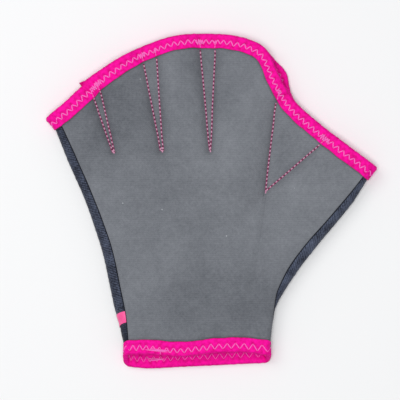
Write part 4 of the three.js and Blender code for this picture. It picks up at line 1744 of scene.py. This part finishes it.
@dataclass(frozen=True)
class Finish:
    """Cloth or thread: what every finish has, and ridges that run over the piece's own map.

    Attributes:
        name: Material's name.
        colour: Its light colour.
        shade: Its dark colour.
        roughness: Roughness of the fibres.
        sheen: Weight of the fuzz that lightens it at a low angle.
        specular: Strength of the fibres' shine.
        strength: Strength of the relief.
        depth: Height of the relief in millimetres.
        pitch: Distance from ridge to ridge along the map, in millimetres.
        lean: Ridges for each step across the map.
        ridge: Weights of the ridges in the tone and in the relief.
        base: Tone before anything is added to it.
        dark: Weight of the piece's painted shade, kept on its vertices.
        layers: Noises.
    """

    name: str
    colour: str
    shade: str
    roughness: float
    sheen: float = 0.0
    specular: float = 0.2
    strength: float = 0.5
    depth: float = 0.2
    pitch: float = 1.0
    lean: float = 0.0
    ridge: tuple[float, float] = (0.0, 1.0)
    base: float = 0.0
    dark: float = 0.0
    layers: tuple[Layer, ...] = ()

    def material(self) -> bpy.types.Material:
        """Make the material: a principled shader with the finish's own colour and relief."""
        made = bpy.data.materials.new(self.name)
        made.use_nodes = True
        tree = made.node_tree
        tree.nodes.clear()
        tone, relief = self.surface(tree)
        ramp = add(tree, "ShaderNodeMix", {0: tone, 6: linear(self.shade), 7: linear(self.colour)},
                   out=2, data_type="RGBA", clamp_factor=True)
        bump = add(tree, "ShaderNodeBump", {
            "Height": relief, "Strength": self.strength, "Distance": self.depth * MM,
        })
        shader = add(tree, "ShaderNodeBsdfPrincipled", {
            "Base Color": self.specked(tree, ramp), "Normal": bump, "Roughness": self.roughness,
            "Sheen Weight": self.sheen, "Specular IOR Level": self.specular,
        })
        add(tree, "ShaderNodeOutputMaterial", {"Surface": shader})
        return made

    def surface(self, tree: Tree) -> tuple[Socket, Socket]:
        """Tone from dark to light, and relief: weighted sums of the ridges and the noises, less the
        painted shade.

        Args:
            tree: Node tree.

        Returns:
            Tone and relief.
        """
        ridges = self.ridges(tree)
        tone = add(tree, "ShaderNodeMath", {0: ridges, 1: self.ridge[0], 2: self.base},
                   operation="MULTIPLY_ADD")
        relief = add(tree, "ShaderNodeMath", {0: ridges, 1: self.ridge[1]}, operation="MULTIPLY")
        for layer in self.layers:
            noise = add(tree, "ShaderNodeTexNoise", {
                "Vector": add(tree, "ShaderNodeTexCoord", out="Object"),
                "Scale": 1.0 / (layer.size * MM), "Detail": layer.detail,
                "Roughness": layer.roughness,
            })
            tone, relief = (
                add(tree, "ShaderNodeMath", {0: noise, 1: weight, 2: so_far},
                    operation="MULTIPLY_ADD")
                for weight, so_far in ((layer.tone, tone), (layer.relief, relief))
            )
        # painted shade from the vertices' shade values
        if self.dark:
            own = add(tree, "ShaderNodeAttribute", out="Fac", attribute_name="shade")
            tone = add(tree, "ShaderNodeMath", {0: own, 1: -self.dark, 2: tone},
                       operation="MULTIPLY_ADD")
        return tone, relief

    def ridges(self, tree: Tree) -> Socket:
        """Sine of the way along the map over the pitch, plus the lean times the way across."""
        place = add(tree, "ShaderNodeTexCoord", out="UV")
        split = add(tree, "ShaderNodeSeparateXYZ", {0: place}).node.outputs
        along = add(tree, "ShaderNodeMath", {0: split[0], 1: 2.0 * math.pi / self.pitch},
                    operation="MULTIPLY")
        turn = add(tree, "ShaderNodeMath", {0: split[1], 1: 2.0 * math.pi * self.lean, 2: along},
                   operation="MULTIPLY_ADD")
        return add(tree, "ShaderNodeMath", {0: turn}, operation="SINE")

    def specked(self, tree: Tree, colour: Socket) -> Socket:
        """Colour with whatever lies on the cloth; by default nothing does."""
        return colour


@dataclass(frozen=True)
class NeopreneKnit(Finish):
    """Foam rubber faced with grey nylon jersey: matt and even, with a fine grain of loop rows.

    Its noises are the fuzz, the mottle and the slow blotches of a brushed face.

    Attributes:
        wale: Width of a column of loops in millimetres.
        course: Height of a row of loops.
        speck: Colour of the few bits of lint on it.
        apart: Distance between places where a bit of lint may lie, in millimetres.
        bit: Radius of a bit, as a share of that distance.
        cover: How much of the cloth's own colour it hides.
    """

    ridge: tuple[float, float] = (0.07, 0.5)
    base: float = -0.32
    dark: float = 0.9
    layers: tuple[Layer, ...] = (
        Layer(1.2, 0.65, 1.0, 3.0, 0.6), Layer(3.5, 0.35), Layer(30.0, 0.8, detail=3.0),
    )
    wale: float = 1.05
    course: float = 1.3
    speck: str = "#C4C8CC"
    apart: float = 13.0
    bit: float = 0.032
    cover: float = 0.55

    def ridges(self, tree: Tree) -> Socket:
        """Jersey loops as tilted rows between wales.

        Real jersey has about 2 loops a millimetre; they are drawn at half that, so that the
        grain shows at the render's size. The eye gets a dull, faintly striped grey from it.

        Args:
            tree: Node tree.

        Returns:
            Sine of the rows.
        """
        place = add(tree, "ShaderNodeTexCoord", out="Object")
        split = add(tree, "ShaderNodeSeparateXYZ", {0: place}).node.outputs
        across = add(tree, "ShaderNodeMath", {0: split[0], 1: 1.0 / (self.wale * MM)},
                     operation="MULTIPLY")
        fold = add(tree, "ShaderNodeMath", {0: across, 1: 0.5}, operation="PINGPONG")
        slant = add(tree, "ShaderNodeMath", {0: split[1], 1: 1.0 / (self.course * MM), 2: fold},
                    operation="MULTIPLY_ADD")
        turn = add(tree, "ShaderNodeMath", {0: slant, 1: 2.0 * math.pi}, operation="MULTIPLY")
        return add(tree, "ShaderNodeMath", {0: turn}, operation="SINE")

    def specked(self, tree: Tree, colour: Socket) -> Socket:
        """Few pale bits of lint: the hearts of half the cells of a coarse Voronoi pattern."""
        place = add(tree, "ShaderNodeTexCoord", out="Object")
        cells = add(tree, "ShaderNodeTexVoronoi", {"Vector": place, "Scale": 1.0 / (self.apart * MM)})
        near = add(tree, "ShaderNodeMath", {0: cells, 1: self.bit}, operation="LESS_THAN")
        pick = add(tree, "ShaderNodeSeparateColor", {0: cells.node.outputs["Color"]})
        some = add(tree, "ShaderNodeMath", {0: pick, 1: 0.5}, operation="GREATER_THAN")
        share = add(tree, "ShaderNodeMath", {0: near, 1: some}, operation="MULTIPLY")
        share = add(tree, "ShaderNodeMath", {0: share, 1: self.cover}, operation="MULTIPLY")
        return add(tree, "ShaderNodeMix", {0: share, 6: colour, 7: linear(self.speck)}, out=2,
                   data_type="RGBA")


@dataclass(frozen=True)
class StretchKnit(Finish):
    """Dark nylon and elastane knit: slanting ribs and bright points of yarn on a slate ground.

    Real ribs are under 1 mm apart; they are drawn coarser, so that they show at the render's
    size.
    """

    pitch: float = 1.9
    lean: float = 0.9 / 1.9
    ridge: tuple[float, float] = (0.15, 0.6)
    base: float = -0.84
    dark: float = 1.0
    layers: tuple[Layer, ...] = (Layer(1.0, 1.5, 1.0, roughness=0.7), Layer(7.0, 0.9))


@dataclass(frozen=True)
class FoldedTape(Finish):
    """Hot pink nylon stretch tape: a fine crosswise rib over lumps as wide as a stitch.

    It is painted crimson as shade where the zigzag dents it, round its fold and along its far edge.
    """

    pitch: float = 0.8
    ridge: tuple[float, float] = (0.0, 0.16)
    base: float = -0.08
    dark: float = 0.55
    layers: tuple[Layer, ...] = (Layer(2.4, 1.5, 1.8, 3.0, 0.6), Layer(0.9, 0.35, 1.0))


@dataclass(frozen=True)
class SatinRibbon(Finish):
    """Pink polyester satin ribbon: floats along its length that catch a smooth light."""

    pitch: float = 0.7
    ridge: tuple[float, float] = (0.12, 1.0)
    layers: tuple[Layer, ...] = (Layer(3.5, 1.0),)


@dataclass(frozen=True)
class SewingThread(Finish):
    """Spun polyester thread: three plies twisted together, with a dull fibre gloss."""

    pitch: float = 1.1
    lean: float = 3.0
    ridge: tuple[float, float] = (0.3, 1.0)
    base: float = 0.65


NEOPRENE_GREY = NeopreneKnit(
    "neoprene_nylon_jersey", "#84878D", "#55585E", 0.85, sheen=0.05, specular=0.15,
    strength=0.35, depth=0.22,
)
GUSSET_KNIT = StretchKnit(
    "nylon_elastane_knit", "#616A80", "#1F222E", 0.7, sheen=0.05, specular=0.15, strength=0.3,
    depth=0.25,
)
TAPE_PINK = FoldedTape("nylon_stretch_tape", "#FF0EA4", "#B40052", 0.65, specular=0.06, depth=0.4)
RIBBON_PINK = SatinRibbon(
    "polyester_satin_ribbon", "#FF6AA8", "#F0408A", 0.35, specular=0.4, strength=0.25, depth=0.1
)
THREAD_PINK = SewingThread("polyester_thread_pink", "#FF86D8", "#FF50BA", 0.5)
THREAD_PALE = SewingThread("polyester_thread_pale_pink", "#DCA8C2", "#BE7496", 0.5)
# Dark cord under the pale web stitches: painted shadow of the seam's groove
GROOVE_SHADOW_CORD = SewingThread("painted_groove_shadow_cord", "#84345A", "#642442", 0.6, specular=0.1)
THREAD_SLATE = SewingThread("polyester_thread_slate", "#24262F", "#14151C", 0.6, specular=0.1)


@dataclass
class Studio:
    """Pale floor, soft light and a camera looking straight down, as the photograph is taken.

    Attributes:
        frame_width: Width of the view at the mitt's mid height, in millimetres.
        centre: Middle of the view in plan, in millimetres.
        mid_height: Mid height of the mitt.
        lens: Focal length in millimetres.
        sensor: Width of the sensor in millimetres.
        lamps: Name, place and width in metres, and power in watts of each soft light.
        sky: Colour and strength of the light from all round.
        floor_half: Half the floor's width in metres.
    """

    frame_width: float = 248.0
    centre: tuple[float, float] = (-7.05, 1.01)
    mid_height: float = 9.0
    lens: float = 200.0
    sensor: float = 36.0
    lamps: tuple[tuple[str, tuple[float, float, float], float, float], ...] = (
        ("key_light", (-0.6, 0.5, 1.2), 0.8, 5.0),
        ("front_light", (-0.08, -0.1, 1.9), 0.7, 21.0),
    )
    sky: tuple[tuple[float, float, float, float], float] = ((0.95, 0.97, 1.0, 1.0), 0.34)
    floor_half: float = 4.0

    def build(self) -> None:
        """Make the floor, the lights, the world and the camera."""
        scene = bpy.context.scene
        scene.view_settings.view_transform = "Standard"
        self.floor()
        for lamp in self.lamps:
            self.lamp(*lamp)
        world = bpy.data.worlds.new("studio_light")
        world.use_nodes = True
        for socket, value in enumerate(self.sky):
            world.node_tree.nodes["Background"].inputs[socket].default_value = value
        scene.world = world
        data = bpy.data.cameras.new("camera")
        data.lens = self.lens
        data.sensor_width = self.sensor
        camera = bpy.data.objects.new("camera", data)
        away = self.frame_width * self.lens / self.sensor
        camera.location = Vector((*self.centre, self.mid_height + away)) * MM
        data.clip_end = 20.0
        scene.collection.objects.link(camera)
        scene.camera = camera

    def lamp(self, name: str, place: tuple[float, float, float], size: float, power: float) -> None:
        """Add a square soft light that faces the mitt."""
        data = bpy.data.lights.new(name, "AREA")
        data.size = size
        data.energy = power
        lamp = bpy.data.objects.new(name, data)
        lamp.location = place
        lamp.rotation_euler = (-Vector(place)).to_track_quat("-Z", "Y").to_euler()
        bpy.context.scene.collection.objects.link(lamp)

    def floor(self) -> None:
        """Add the floor: a wide plain sheet just under the mitt."""
        mesh = bpy.data.meshes.new("floor")
        signs = ((-1, -1), (1, -1), (1, 1), (-1, 1))
        square = [(x * self.floor_half, y * self.floor_half, 0.0) for x, y in signs]
        mesh.from_pydata(square, [], [(0, 1, 2, 3)])
        made = bpy.data.materials.new("matt_paper")
        made.use_nodes = True
        shader = made.node_tree.nodes["Principled BSDF"]
        shader.inputs["Base Color"].default_value = linear("#F1F1F1")
        shader.inputs["Roughness"].default_value = 0.9
        mesh.materials.append(made)
        piece = bpy.data.objects.new("floor", mesh)
        bpy.context.scene.collection.objects.link(piece)


def dress(pieces: list[Piece], material: bpy.types.Material) -> None:
    """Give pieces their material."""
    for piece in pieces:
        piece.data.materials.append(material)


def corners(box: tuple[Vector, Vector]) -> list[list[float]]:
    """Two corners as plain lists of numbers."""
    return [list(map(float, corner)) for corner in box]


def main() -> None:
    """Build the studio and the mitt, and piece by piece."""
    logging.basicConfig(level=logging.INFO, format="%(message)s")
    Studio().build()
    neoprene = NEOPRENE_GREY.material()
    tape = TAPE_PINK.material()
    pink, pale = THREAD_PINK.material(), THREAD_PALE.material()
    crimson = GROOVE_SHADOW_CORD.material()
    for panel in (Panel(back=False), Panel(back=True)):
        dress([panel.build()], neoprene)
        dark, light, tacks = SeamThreads(panel).build()
        # dark cords of painted groove shadow
        dress([dark], crimson)
        dress([light], pale)
        dress([tacks], pink)
    knit, slate = GUSSET_KNIT.material(), THREAD_SLATE.material()
    for gusset in (LITTLE_GUSSET, THUMB_GUSSET):
        strip, *seams = gusset.build()
        dress([strip], knit)
        dress(seams, slate)
    for binding in (FINGER, WRIST):
        dress([binding.build()], tape)
        dress([binding.zigzag(Face.OUTER), binding.zigzag(Face.INNER)], pink)
    for lap in (TapeLap(FINGER, 25.2, 42.0), TapeLap(WRIST, 19.0, 27.0, proud=0.5, nub=0.0)):
        dress([lap.build()], tape)
    dress([WristJoin().build()], pink)
    dress([SideTab().build()], RIBBON_PINK.material())


if __name__ == "__main__":
    main()
